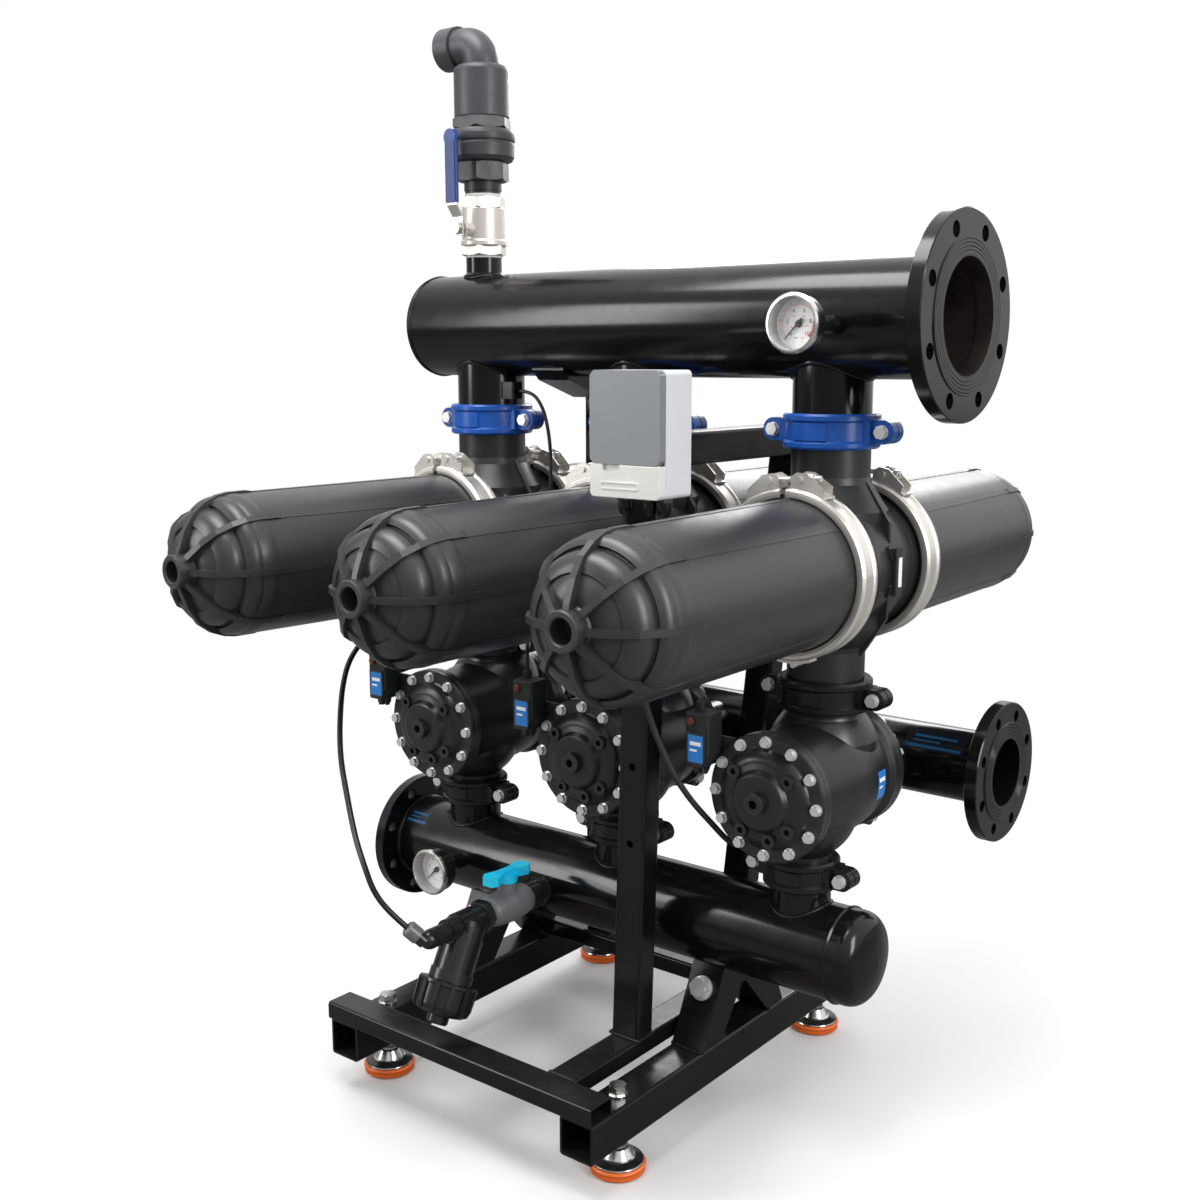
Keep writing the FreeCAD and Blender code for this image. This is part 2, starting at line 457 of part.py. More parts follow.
# ---------------- barrel covers ----------------
def barrel():
    o = [(113, Y_BF + 0.3), (113, Y_BF + 9), (108.5, Y_BF + 13), (107, Y_BF + 24), (105.0, Y_RIDGE - 16),
         (105.6, Y_RIDGE - 4, 102.6, Y_RIDGE + 9), (100.5, Y_RIDGE + 21, 95, Y_RIDGE + 28), (91.5, Y_RIDGE + 31), (89, Y_RIDGE + 28),
         (87.2, Y_RIDGE + 30), (86.5, Y_RIDGE + 38), (80, Y_RIDGE + 52, 66, Y_RIDGE + 61), (63.5, Y_RIDGE + 62), (61.5, Y_RIDGE + 60),
         (58.5, Y_RIDGE + 62), (46, Y_RIDGE + 68.5, 32, Y_RIDGE + 71.5), (27, Y_RIDGE + 72), (R_BOSS, Y_RIDGE + 75), (R_BOSS, Y_BOSS - 2),
         (R_BOSS - 2, Y_BOSS), (R_BORE + 2, Y_BOSS), (R_BORE, Y_BOSS - 2), (R_BORE, Y_BOSS - 30), (0, Y_BOSS - 30)]
    i = [(0, Y_RIDGE + 58), (60, Y_RIDGE + 50), (84, Y_RIDGE + 26), (96, Y_RIDGE + 8), (100.5, Y_RIDGE - 20), (102, Y_BF + 24), (100, Y_BF + 0.3)]
    s = rev(o + i)
    ribs = []
    shell = rev([(103, Y_RIDGE - 12), (105.8, Y_RIDGE - 12), (107.7, Y_BF + 25), (103, Y_BF + 25)])
    for k in range(8):
        a = 45.0 * k
        # rib over the dome, in the plane through the axis
        pts = [(18, Y_BOSS - 9), (30, Y_BOSS - 12), (58, Y_BOSS - 23), (82, Y_BOSS - 39), (97, Y_BOSS - 60), (104.6, Y_BOSS - 80),
               (107.6, Y_BOSS - 98), (108, Y_BOSS - 130), (104, Y_BOSS - 150), (101.4, Y_BOSS - 140), (95, Y_RIDGE + 4), (84, Y_RIDGE + 20), (60, Y_RIDGE + 45), (18, Y_RIDGE + 60)]
        w = Part.makePolygon([V(p[0], 0, p[1]) for p in pts + [pts[0]]])
        r_ = Part.Face(w).extrude(V(0, 9, 0))
        r_.translate(V(0, -4.5, 0))
        ribs.append(rot(r_, (0, 0, 0), (0, 0, 1), a))
        # shallow band along the cylinder, widening toward the clamp
        pw = [(-3.5, Y_RIDGE - 12.5), (-8.5, Y_BF + 26), (8.5, Y_BF + 26), (3.5, Y_RIDGE - 12.5)]
        w2 = Part.makePolygon([V(100, p[0], p[1]) for p in pw + [pw[0]]])
        b2 = Part.Face(w2).extrude(V(9, 0, 0)).common(shell)
        ribs.append(rot(b2, (0, 0, 0), (0, 0, 1), a))
    s = s.multiFuse(ribs)
    s = s.cut(cyl((0, 0, Y_BOSS - 30), (0, 0, 1), R_BORE, 60))
    s = s.removeSplitter()
    return max(s.Solids, key=lambda q: q.Volume)


bc = barrel()
for n, x in zip(("left", "middle", "right"), STN):
    out("front_barrel_" + n, turned(place(bc, (x, 0, Z_BAR), (0, -1, 0)), x))
out("rear_barrels", *[turned(place(bc, (x, 0, Z_BAR), (0, 1, 0)), x) for x in STN])

# band clamps: a V-section ring, open at the latch
def clamp_ring():
    s = rev([(114, -22), (118.5, -22), (121.5, -17), (121.5, -12), (119.5, -9), (119.5, 9), (121.5, 12), (121.5, 17), (118.5, 22), (114, 22), (109.5, 21), (109.5, 18.5),
             (113.6, 17), (113.6, -17), (109.5, -18.5), (109.5, -21)])
    # gap under the latch, around local angle 90 (top)
    s = s.cut(box(-5, 5, 100, 140, -30, 30))
    return s


def clamp_latch():
    L = []
    # two saddle plates that curve off the ring, and trunnion blocks
    for sx, h in ((1, 0), (-1, 0)):
        pl_ = tube((0, 0, -15), (0, 0, 1), 124.5, 121.8, 30).common(box(min(sx * 8, sx * 62), max(sx * 8, sx * 62), 60, 140, -15, 15))
        ear1 = Part.Face(Part.makePolygon([V(sx * 10, 120, -15), V(sx * 10, 137, -15), V(sx * 20, 143, -15), V(sx * 34, 141, -15), V(sx * 60, 121, -15), V(sx * 58, 107, -15), V(sx * 10, 120, -15)])).extrude(V(0, 0, 3))
        ear2 = ear1.copy()
        ear2.translate(V(0, 0, 27))
        e = ear1.fuse(ear2).cut(cyl((0, 0, -30), (0, 0, 1), 121.9, 60))
        pin = cyl((sx * 24, 133, -18), (0, 0, 1), 5, 36)
        L.append(max(fuse(pl_, e, pin).Solids, key=lambda q: q.Volume))
    # T-bolt through both trunnions
    tb = fuse(cyl((-48, 133, 0), (1, 0, 0), 4.2, 98), hexp(14, 9, (31, 133, 0), (1, 0, 0)), hexp(14, 7, (-44, 133, 0), (1, 0, 0)))
    tb = tb.cut(cyl((24, 133, -18), (0, 0, 1), 5.1, 36)).cut(cyl((-24, 133, -18), (0, 0, 1), 5.1, 36))
    L += list(tb.Solids)
    # hinge link at the bottom
    lk = tube((0, 0, -11), (0, 0, 1), 126.5, 121.8, 22).common(box(-26, 26, -140, -100, -11, 11))
    lk = fuse(lk, cyl((0, -128, -12), (0, 0, 1), 4.5, 24))
    L.append(max(lk.Solids, key=lambda q: q.Volume))
    return L


cr_ = clamp_ring()
cl_ = clamp_latch()
rings, latches = [], []
for x in STN:
    for sy in (-1, 1):
        # local Z to +/-Y; local Y must be up for both
        def setc(s, sy=sy, x=x):
            t = s.copy()
            t.rotate(V(0, 0, 0), V(1, 0, 0), 90)      # local Y -> Z, local Z -> -Y
            if sy > 0:
                t.rotate(V(0, 0, 0), V(0, 0, 1), 180)
            t.rotate(V(0, 0, 0), V(0, 1, 0), -4 if sy < 0 else 6)
            t.translate(V(x, sy * (Y_BF + 0.15), Z_BAR))
            return turned(t, x)
        rings.append(setc(cr_))
        for q in cl_:
            latches.append(setc(q))
out("band_clamps", *rings)
out("clamp_latches", *latches)

# disc stacks on their spines, inside the covers
stacks, spines = [], []
for x in STN:
    for sy in (-1, 1):
        st = rev([(50, 62), (78, 62), (80, 64), (80, 508), (78, 510), (50, 510)])
        for g in range(90, 500, 30):
            st = st.cut(tube((0, 0, g), (0, 0, 1), 82, 78.6, 2))
        stacks.append(turned(place(st, (x, 0, Z_BAR), (0, sy, 0)), x))
        sp = rev([(0, 56), (30.5, 56), (49.5, 58), (49.5, 512), (78, 513), (78, 521), (30, 523), (14, 540), (0, 540)])
        sp = sp.cut(cyl((0, 0, 50), (0, 0, 1), 22, 20)).cut(cyl((0, 0, 64), (0, 0, 1), 45, 440))
        spines.append(turned(place(sp, (x, 0, Z_BAR), (0, sy, 0)), x))
out("disc_stacks", *stacks)
out("stack_spines", *spines)


# ---------------- three-way valves ----------------
Y_BN = -150.0            # joint between valve body and bonnet


def valve_body():
    s = rev([(0, -150), (93, -150), (94, -149), (94, -140), (92, -138), (80, -137), (78, -126), (84, -96, 90, -60), (93, -20, 90, 22), (88, 44), (94, 50),
             (95, 52), (95, 64), (94, 65), (0, 65)])
    s = place(s, (0, 0, 0), (0, 1, 0))
    # rear cover ring and port
    s = s.fuse(place(rev([(0, 65), (94, 65), (95, 66), (95, 77), (93, 79), (80, 80), (0, 80)]), (0, 0, 0), (0, 1, 0)))
    s = s.fuse(place(rev([(0, 66), (68, 66), (66, 81), (56, 89, 47.5, 102), (R_N3, 107), (R_N3, 129), (0, 129)]), (0, 0, Z_DR - Z_V), (0, 1, 0)))
    # top and bottom ports
    s = s.fuse(place(rev([(0, 0), (80, 0), (80, 60), (68, 84, R_N4 + 3, 94), (R_N4, 100), (R_N4, Z_CT - 1 - Z_V), (0, Z_CT - 1 - Z_V)]), (0, 0, 0), (0, 0, 1)))
    s = s.fuse(place(rev([(0, 0), (78, 0), (78, 58), (64, 84, R_N3 + 5, 98), (R_N3, 104), (R_N3, Z_V - Z_CB - 1), (0, Z_V - Z_CB - 1)]), (0, Y_LO, 0), (0, 0, -1)))
    # small hose boss on the lower port
    s = s.fuse(cyl((0, Y_LO, -100), (-0.7071, -0.7071, 0), 8.0, 60.0))
    # lugs round the front and rear flanges
    for k in range(12):
        a = 30.0 * k
        b = cyl((83, 0, 0), (0, 0, 1), 10.5, 12)
        s = s.fuse(rot(place(b, (0, -138, 0), (0, -1, 0)), (0, 0, 0), (0, 1, 0), a))
    for k in range(10):
        a = 36.0 * k + 18
        b = cyl((85, 0, 0), (0, 0, 1), 10, 25)
        s = s.fuse(rot(place(b, (0, 77, 0), (0, -1, 0)), (0, 0, 0), (0, 1, 0), a))
    # cavities: piston chamber, seat chamber and ports
    s = s.cut(cyl((0, -151, 0), (0, 1, 0), 72, 91)).cut(cyl((0, -61, 0), (0, 1, 0), 64, 112))
    s = s.cut(cyl((0, 0, 0), (0, 0, 1), R_N4I, 140)).cut(cyl((0, Y_LO, 0), (0, 0, -1), R_N3I, 200)).cut(cyl((0, 0, Z_DR - Z_V), (0, 1, 0), R_N3I - 4, 140))
    # coupling grooves
    s = s.cut(tube((0, 0, Z_CT - Z_V - 24), (0, 0, 1), R_N4 + 1, R_N4 - 2.2, 9))
    s = s.cut(tube((0, Y_LO, -(Z_V - Z_CB) + 9), (0, 0, 1), R_N3 + 1, R_N3 - 2, 8))
    s = s.cut(tube((0, 106, Z_DR - Z_V), (0, 1, 0), R_N3 + 1, R_N3 - 2, 7))
    for k in range(12):
        a = math.radians(30 * k)
        s = s.cut(cyl((83 * math.cos(a), -152, 83 * math.sin(a)), (0, 1, 0), 4.6, 16))
    # spot faces under the rear nuts
    for k in range(10):
        a = math.radians(36.0 * k + 18)
        s = s.cut(cyl((85 * math.cos(a), 80.0, 85 * math.sin(a)), (0, 1, 0), 8.6, 20))
    s = s.removeSplitter()
    return max(s.Solids, key=lambda q: q.Volume)


def bonnet():
    s = rev([(0, 150.15), (93, 150.15), (94, 151), (94, 160), (92, 162), (76, 162), (73, 163.5), (67, 170.5, 54, 175.5), (46, 177.5), (43.5, 181), (41, 184.5), (38, 186), (17, 187), (16, 196), (15, 197), (0, 197)])
    s = place(s, (0, 0, 0), (0, -1, 0))
    for k in range(12):
        b = cyl((83, 0, 150.15), (0, 0, 1), 10.5, 11.5)
        s = s.fuse(rot(place(b, (0, 0, 0), (0, -1, 0)), (0, 0, 0), (0, 1, 0), 30.0 * k))
    # cored bosses round the crown
    crown = ((140, 57, 180.5), (39, 57, 180.5), (-38, 58, 180), (-74, 57, 181), (-123, 56, 180.5))
    for a, r_, h in crown:
        b = cyl((r_, 0, 160.2), (0, 0, 1), 10, h - 160.2)
        s = s.fuse(rot(place(b, (0, 0, 0), (0, -1, 0)), (0, 0, 0), (0, 1, 0), -a))
    for a, r_, h in crown:
        b = cyl((r_, 0, h - 7), (0, 0, 1), 4.6, 9)
        s = s.cut(rot(place(b, (0, 0, 0), (0, -1, 0)), (0, 0, 0), (0, 1, 0), -a))
    s = s.cut(cyl((0, -198, 0), (0, 1, 0), 6.5, 18))
    s = s.cut(place(rev([(0, 149), (60, 149), (56, 158), (30, 166), (0, 168)]), (0, 0, 0), (0, -1, 0)))
    for k in range(12):
        a = math.radians(30 * k)
        s = s.cut(cyl((83 * math.cos(a), -165, 83 * math.sin(a)), (0, 1, 0), 4.6, 30))
    s = s.removeSplitter()
    return max(s.Solids, key=lambda q: q.Volume)


vb, bn = valve_body(), bonnet()


def at(s, x, y, z):
    s = s.copy()
    s.translate(V(x, y, z))
    return s


out("valve_bodies", *[at(vb, x, 0, Z_V) for x in STN])
out("valve_bonnets", *[at(bn, x, 0, Z_V) for x in STN])
bb = []
for x in STN:
    for k in range(12):
        a = math.radians(30 * k)
        bb.append(bolt((x + 83 * math.cos(a), -162.1, Z_V + 83 * math.sin(a)), (0, -1, 0), 4.5, 21, 13, 6.5, 8.5, 1.8))
    for k in range(10):
        a = math.radians(36.0 * k + 18)
        bb.append(hexp(13, 8, (x + 85 * math.cos(a), 80.2, Z_V + 85 * math.sin(a)), (0, 1, 0)))
out("bonnet_bolts", *bb)
pist = rev([(0, -132), (30, -132), (34, -130), (71.4, -130), (71.4, -118), (30, -118), (9, -114), (9, 4), (34.0, 6), (34.0, 14), (9, 16), (9, 22), (0, 22)])
pist = place(pist, (0, 0, 0), (0, 1, 0))
for n, x in zip(("left", "middle", "right"), STN):
    out("valve_piston_" + n, at(pist, x, 0, Z_V))

# solenoid boxes, each on a bracket from its bonnet, with a push button
SB = (-97.0, -176.0, 76.0)      # box centre relative to the valve axis
boxes = []
for x in STN:
    cx, cy, cz = x + SB[0], SB[1], Z_V + SB[2]
    b = rbox(cx - 20, cx + 20, cy - 19, cy + 19, cz - 40, cz + 40, 4, "z")
    b = fillet_try(b, 2.0, lambda e: e.Length > 20 and abs(abs(e.CenterOfMass.z - cz) - 40) < 0.1)
    b = b.fuse(rbox(cx - 16, cx + 16, cy - 21, cy - 18, cz - 36, cz + 12, 2, "y"))
    b = b.cut(cyl((cx - 9, cy - 22, cz + 27), (0, 1, 0), 6.3, 12))
    # outlets below and at the back
    for dx in (-9, 9):
        b = b.fuse(cyl((cx + dx, cy, cz - 53), (0, 0, 1), 6.0, 14)).fuse(hexp(13, 5, (cx + dx, cy, cz - 49)))
    b = b.fuse(cyl((cx - 8, cy + 4, cz + 38), (0, 0, 1), 7, 14)).fuse(cyl((cx - 8, cy + 18, cz - 2), (0, 1, 0), 7, 0.8))
    # bracket arm to the bonnet flange
    arm = box(cx + 6, cx + 40, cy + 18, cy + 22.5, cz - 18, cz + 2)
    b = b.fuse(arm).cut(place(cyl((0, 0, 0), (0, 0, 1), 95, 200), (x, 0, Z_V), (0, -1, 0)))
    # the plate reaches the valve flange along its rim
    b = b.fuse(box(cx + 19, cx + 31, -153.6, -140, cz - 60, cz - 16).cut(place(cyl((0, 0, 0), (0, 0, 1), 94.2, 200), (x, 0, Z_V), (0, -1, 0))))
    b = b.fuse(box(cx + 16, cx + 20, cy + 10, -140, cz - 60, cz - 16).cut(place(cyl((0, 0, 0), (0, 0, 1), 94.6, 200), (x, 0, Z_V), (0, -1, 0))))
    b = b.removeSplitter()
    boxes.append(max(b.Solids, key=lambda q: q.Volume))
out("solenoid_boxes", *boxes)
for n, x in zip(("left", "middle", "right"), STN):
    cx, cy, cz = x + SB[0] - 9, SB[1], Z_V + SB[2] + 27
    bt = rev([(0, 0), (5.9, 0), (5.9, 9.4), (5.2, 10.2), (0, 10.6)])
    out("override_button_" + n, place(bt, (cx, cy - 13.0, cz), (0, -1, 0)))

# ---------------- controller ----------------
CX0, CX1, CY0, CY1, CZ0, CZ1 = 108.0, 228.0, -278.0, -204.2, 996.0, 1170.0
ZS = CZ0 + 46.0           # split between the lower cover and the door
case = rbox(CX0, CX1, CY0 + 14, CY1, CZ0, CZ1, 7, "y")
case = case.cut(rbox(CX0 + 3, CX1 - 3, CY0 + 10, CY1 - 3, CZ0 + 3, CZ1 - 3, 5, "y"))
case = case.fuse(rbox(CX0 + 8, CX1 - 8, CY0 + 22, CY0 + 24, CZ0 + 56, CZ1 - 8, 4, "y"))
# hinge ears for the door, on the left edge
for hz in (ZS + 24, CZ1 - 36):
    case = case.fuse(box(CX0 - 6, CX0 - 0.3, CY0 + 10, CY0 + 18, hz, hz + 12)).fuse(box(CX0 - 6, CX0 + 0.5, CY0 + 14, CY0 + 18, hz, hz + 12)).cut(cyl((CX0 - 2.6, CY0 + 13, hz - 1), (0, 0, 1), 1.55, 14))
case = case.removeSplitter()
for gx in (CX0 + 32, CX0 + 76, CX0 + 100):
    case = case.cut(cyl((gx, CY0 + 40, CZ0 - 1), (0, 0, 1), 8.2, 6))
out("controller_case", max(case.Solids, key=lambda q: q.Volume))
cov = rbox(CX0, CX1, CY0, CY0 + 13.8, CZ0, CZ0 + 66, 7, "y").cut(box(CX0 - 1, CX1 + 1, CY0 - 1, CY0 + 20, ZS, CZ0 + 80))
cov = cov.cut(rbox(CX0 + 22, CX0 + 52, CY0 - 1, CY0 + 5, ZS - 9, ZS + 6, 3, "y"))
cov = cov.fuse(rbox(CX0 + 20, CX0 + 84, CY0 - 1.0, CY0 + 2, CZ0 + 12, CZ0 + 22, 2, "y").cut(rbox(CX0 + 21.5, CX0 + 82.5, CY0 - 2, CY0 + 0, CZ0 + 13.5, CZ0 + 20.5, 1, "y")))
cov = fillet_try(cov, 1.5, lambda e: abs(e.CenterOfMass.y - CY0) < 0.01 and e.Length > 60)
out("controller_cover", cov.removeSplitter())
# the door: a tray with small chamfers at its lower corners, hung from two pins on its left edge
fw = Part.makePolygon([V(CX0 + 7, CY0, CZ1), V(CX1 - 7, CY0, CZ1), V(CX1, CY0, CZ1 - 7), V(CX1, CY0, ZS + 7), V(CX1 - 7, CY0, ZS + 0.4), V(CX0 + 7, CY0, ZS + 0.4),
                      V(CX0, CY0, ZS + 7), V(CX0, CY0, CZ1 - 7), V(CX0 + 7, CY0, CZ1)])
door = Part.Face(fw).extrude(V(0, 13.6, 0))
door = door.cut(box(CX0 + 3, CX1 - 3, CY0 + 3, CY0 + 20, ZS + 11, CZ1 - 3))
# notches that clear the ears as the door swings open
for hz in (ZS + 24, CZ1 - 36):
    door = door.cut(box(CX0 - 10, CX0 + 8, CY0 + 6.5, CY0 + 20, hz - 0.4, hz + 12.2))
for hz in (ZS + 36.2, CZ1 - 48.2):
    door = door.fuse(box(CX0 - 5.6, CX0 + 0.6, CY0 + 2, CY0 + 13.6, hz, hz + 11.6).common(cyl((CX0 + 1, CY0 + 11, hz - 1), (0, 0, 1), 8, 14)))
door = door.fuse(cyl((CX0 - 2.6, CY0 + 13, ZS + 24.5), (0, 0, 1), 1.5, 24)).fuse(cyl((CX0 - 2.6, CY0 + 13, CZ1 - 48.4), (0, 0, 1), 1.5, 24))
door = door.removeSplitter()
out("controller_door", max(door.Solids, key=lambda q: q.Volume))
gl = []
for gx in (CX0 + 32, CX0 + 76, CX0 + 100):
    g = fuse(cyl((0, 0, 2.8), (0, 0, -1), 8.0, 6), hexp(22, 6, (0, 0, -6.1)), rev([(0, -26), (7, -26), (9.5, -22), (10.5, -16), (10.5, -6), (0, -6)]))
    g = g.cut(cyl((0, 0, -30), (0, 0, 1), 4.1, 40))
    gl.append(place(g, (gx, CY0 + 40, CZ0 - 0.1), (0, 0, 1)))
out("cable_glands", *gl)


# ---------------- pressure gauges ----------------
R_G = 39.5
gc, gd, gw = [], [], []
GP = [((383, -206, Z_UP - 10), (383, -98, Z_UP - 10)), ((GLX, -206, GLZ), (GLX, Y_LO - 86, GLZ))]
for (gx, gy, gz), (bx, by, bz) in GP:
    c = rev([(0, 0), (30, 0), (34, 3), (36.5, 8), (36.5, 24), (38.5, 25), (39.5, 27), (39.5, 32), (37, 34.5), (34.8, 34.8), (34.0, 32.2), (34.0, 12), (0, 12)])
    stem_l = abs(by - gy) - 34.5
    # back connection: hexagon, thread and the valve socket on the manifold
    st = fuse(cyl((0, 0, 1), (0, 0, -1), 8, stem_l), hexp(17, 14, (0, 0, -16)), hexp(24, 10, (0, 0, -stem_l + 0.2)) if stem_l > 40 else None)
    c = fuse(c, st).cut(cyl((0, 0, -stem_l - 1), (0, 0, 1), 3, stem_l + 2))
    gc.append(place(c, (gx, gy + 34.5, gz), (0, -1, 0)))
    d = rev([(1.6, 12.1), (33.8, 12.1), (33.8, 13.4), (1.6, 13.4)])
    gd.append(place(d, (gx, gy + 34.5, gz), (0, -1, 0)))
    w = rev([(0, 29.6), (33.9, 29.6), (33.9, 32.0), (0, 32.0)])
    gw.append(place(w, (gx, gy + 34.5, gz), (0, -1, 0)))
out("gauge_cases", *gc)
out("gauge_dials", *gd)
out("gauge_windows", *gw)
for n, ((gx, gy, gz), b_) in zip(("upper", "lower"), GP):
    # needle: hub, tapered pointer to the lower left, short tail
    hub = cyl((0, 0, 12.2), (0, 0, 1), 1.5, 6).fuse(cyl((0, 0, 15.4), (0, 0, 1), 3.6, 2.2))
    pt = Part.Face(Part.makePolygon([V(-1.5, 0, 16), V(-0.4, -27, 16), V(0.4, -27, 16), V(1.5, 0, 16), V(2.0, 9, 16), V(-2.0, 9, 16), V(-1.5, 0, 16)])).extrude(V(0, 0, 1.0))
    nd = fuse(hub, pt)
    nd = rot(nd, (0, 0, 0), (0, 0, 1), -45)
    out(n + "_gauge_needle", place(nd, (gx, gy + 34.5, gz), (0, -1, 0)))

# ---------------- air valve and its ball valve ----------------
AX = -345.0
zb = 1356.5
bv = fuse(rev([(0, zb + 14), (36, zb + 14), (38.5, zb + 17), (38.5, zb + 23), (36.5, zb + 26), (36, zb + 76), (34, zb + 79), (0, zb + 79)]),
          hexp(68, 18, (0, 0, zb)), hexp(66, 19, (0, 0, zb + 77)), cyl((0, 0, zb + 42), (0, -1, 0), 12, 47), hexp(22, 8, (0, -46, zb + 42), (0, -1, 0)))
bv = bv.cut(cyl((0, 0, zb - 1), (0, 0, 1), 26, 100)).cut(cyl((0, 0, zb + 42), (0, -1, 0), 6.05, 60))
bv = bv.cut(Part.makeSphere(31.3, V(0, 0, zb + 42)))
out("ball_valve_body", at(bv, AX, 0, 0))
# ball, stem, lever plate and nut turn together
ball = Part.makeSphere(31.0, V(0, 0, zb + 42)).cut(cyl((0, 0, zb), (0, 0, 1), 24, 90)).common(box(-40, 40, -40, 40, zb + 18, zb + 66))
stem = cyl((0, -27, zb + 42), (0, -1, 0), 6.0, 44)
lever = box(-11, 11, -63, -60, zb + 30, zb + 62)
lev2 = Part.Face(Part.makePolygon([V(-11, -60, zb + 60), V(-11, -63, zb + 60), V(-11, -76, zb + 78), V(-11, -76, zb + 152), V(-11, -73, zb + 152), V(-11, -73, zb + 79), V(-11, -60, zb + 62), V(-11, -60, zb + 60)])).extrude(V(22, 0, 0))
nut = hexp(19, 7, (0, -63.2, zb + 42), (0, -1, 0))
lv = fuse(ball, stem, lever, lev2, nut)
out("ball_valve_lever", at(lv, AX, 0, 0))
grip = rbox(-13, 13, -79, -70, zb + 80, zb + 186, 4, "z")
grip = grip.fuse(cyl((0, -79, zb + 186), (0, 1, 0), 13, 9)).cut(box(-11.1, 11.1, -76.1, -72.9, zb + 70, zb + 152.1))
grip = grip.cut(box(-30, 30, -100, -60, zb + 60, zb + 82))
out("lever_grip", at(max(grip.Solids, key=lambda q: q.Volume), AX, 0, 0))
zc = zb + 96.2
av = fuse(rev([(0, zc), (30, zc), (30, zc + 9), (31.5, zc + 10), (31.5, zc + 25), (0, zc + 25)]),
          hexp(80, 31, (0, 0, zc + 25)),
          rev([(0, zc + 55.5), (44, zc + 55.5), (50, zc + 58), (53.5, zc + 64), (54, zc + 84), (52.6, zc + 86), (52.6, zc + 88), (55, zc + 90), (55.5, zc + 94), (55.5, zc + 100),
               (54, zc + 104), (50, zc + 108), (46, zc + 109), (0, zc + 109)]),
          hexp(88, 19, (0, 0, zc + 109)),
          rev([(0, zc + 127), (45, zc + 127), (46, zc + 129), (46, zc + 199), (44, zc + 207, 37, zc + 211.5), (31, zc + 212.5), (0, zc + 212.5)]))
av = av.cut(rev([(0, zc - 1), (23, zc - 1), (23, zc + 60), (40, zc + 70), (40, zc + 194), (24, zc + 204), (24, zc + 220), (0, zc + 220)]))
av = av.removeSplitter()
out("air_valve_body", at(max(av.Solids, key=lambda q: q.Volume), AX, 0, 0))
ZE = 1698.0
RB = 30.6                 # bend radius of the elbow's centre line


def bend(r):
    t = Part.makeTorus(RB, r, V(-RB, 0, ZE - RB), V(0, 1, 0))
    return t.common(box(-RB, 40, -40, 40, ZE - RB, ZE + 40))


eo = cyl((0, 0, zc + 212.7), (0, 0, 1), 30, ZE - RB - zc - 212.7)
eo = eo.fuse(bend(30)).fuse(cyl((-RB, 0, ZE), (-1, 0, 0), 30, 19)).fuse(cyl((-47, 0, ZE), (-1, 0, 0), 35, 32))
ei = cyl((0, 0, zc + 200), (0, 0, 1), 24.5, ZE - RB - zc - 200).fuse(bend(24.5)).fuse(cyl((-RB, 0, ZE), (-1, 0, 0), 24.5, 40)).fuse(cyl((-54, 0, ZE), (-1, 0, 0), 30, 40))
el = eo.cut(ei)
out("air_valve_elbow", at(max(el.removeSplitter().Solids, key=lambda q: q.Volume), AX, 0, 0))

# ---------------- sampling line: small ball valve, strainer, hose ----------------
ys = Y_LO - 85.0          # end of the manifold nipple
VC = ys - 86.0            # middle of the valve
pv = fuse(cyl((0, ys - 0.2, 0), (0, -1, 0), 20, 24), hexp(42, 15, (0, ys - 6, 0), (0, -1, 0)), cyl((0, ys - 20, 0), (0, -1, 0), 22.5, 26),
          place(rev([(0, -46), (21, -46), (24, -40), (26, -28), (28, 0), (26, 28), (24, 38), (21, 44), (0, 44)]), (0, VC, 0), (0, -1, 0)),
          cyl((0, VC, 0), (0, 0, 1), 15, 40), cyl((0, VC - 38, 0), (0, -1, 0), 21, 12))
for k in range(10):
    pv = pv.fuse(rot(box(21.5, 24.5, ys - 43, ys - 22, -2.2, 2.2), (0, 0, 0), (0, 1, 0), 36 * k))
pv = pv.cut(cyl((0, ys + 1, 0), (0, -1, 0), 11, 150)).cut(Part.makeSphere(20.3, V(0, VC, 0))).cut(cyl((0, VC, 0), (0, 0, 1), 8.05, 50))
out("sampling_valve_body", at(pv, SX, 0, SZ))
hb = fuse(Part.makeSphere(20.0, V(0, VC, 0)).cut(cyl((0, ys, 0), (0, -1, 0), 10, 150)), cyl((0, VC, 15), (0, 0, 1), 8.0, 28),
          cyl((0, VC, 40.3), (0, 0, 1), 17, 13))
wing = Part.Face(Part.makePolygon([V(-14, -7, 44), V(-36, -15, 44), V(-46, -9, 44), V(-46, 9, 44), V(-36, 15, 44), V(-14, 9, 44), V(14, 9, 44), V(36, 15, 44), V(46, 9, 44), V(46, -9, 44), V(36, -15, 44), V(14, -7, 44), V(-14, -7, 44)])).extrude(V(0, 0, 15))
wing.rotate(V(0, 0, 0), V(0, 0, 1), 90)
wing.translate(V(0, VC, 0))
hb = fuse(hb, wing)
out("sampling_valve_handle", at(max(hb.Solids, key=lambda q: q.Volume), SX, 0, SZ))
y2 = VC - 50.2
TILT = 28.0
stb = fuse(cyl((0, y2, 0), (0, -1, 0), 22, 20), hexp(46, 15, (0, y2 - 1, 0), (0, -1, 0)), cyl((0, y2 - 14, 0), (0, -1, 0), 22, 52))
db = (0, -math.sin(math.radians(TILT)), -math.cos(math.radians(TILT)))
S0 = (0, y2 - 40, 0)
stb = fuse(stb, place(rev([(0, -12), (20, -12), (27, -4), (30, 4), (30, 92), (0, 92)]), S0, db), place(rev([(0, 76), (34, 76), (34, 92), (0, 92)]), S0, db))
for k in range(6):
    stb = stb.fuse(place(rot(box(28, 33.0, -2.5, 2.5, 22, 80), (0, 0, 0), (0, 0, 1), 60 * k), S0, db))
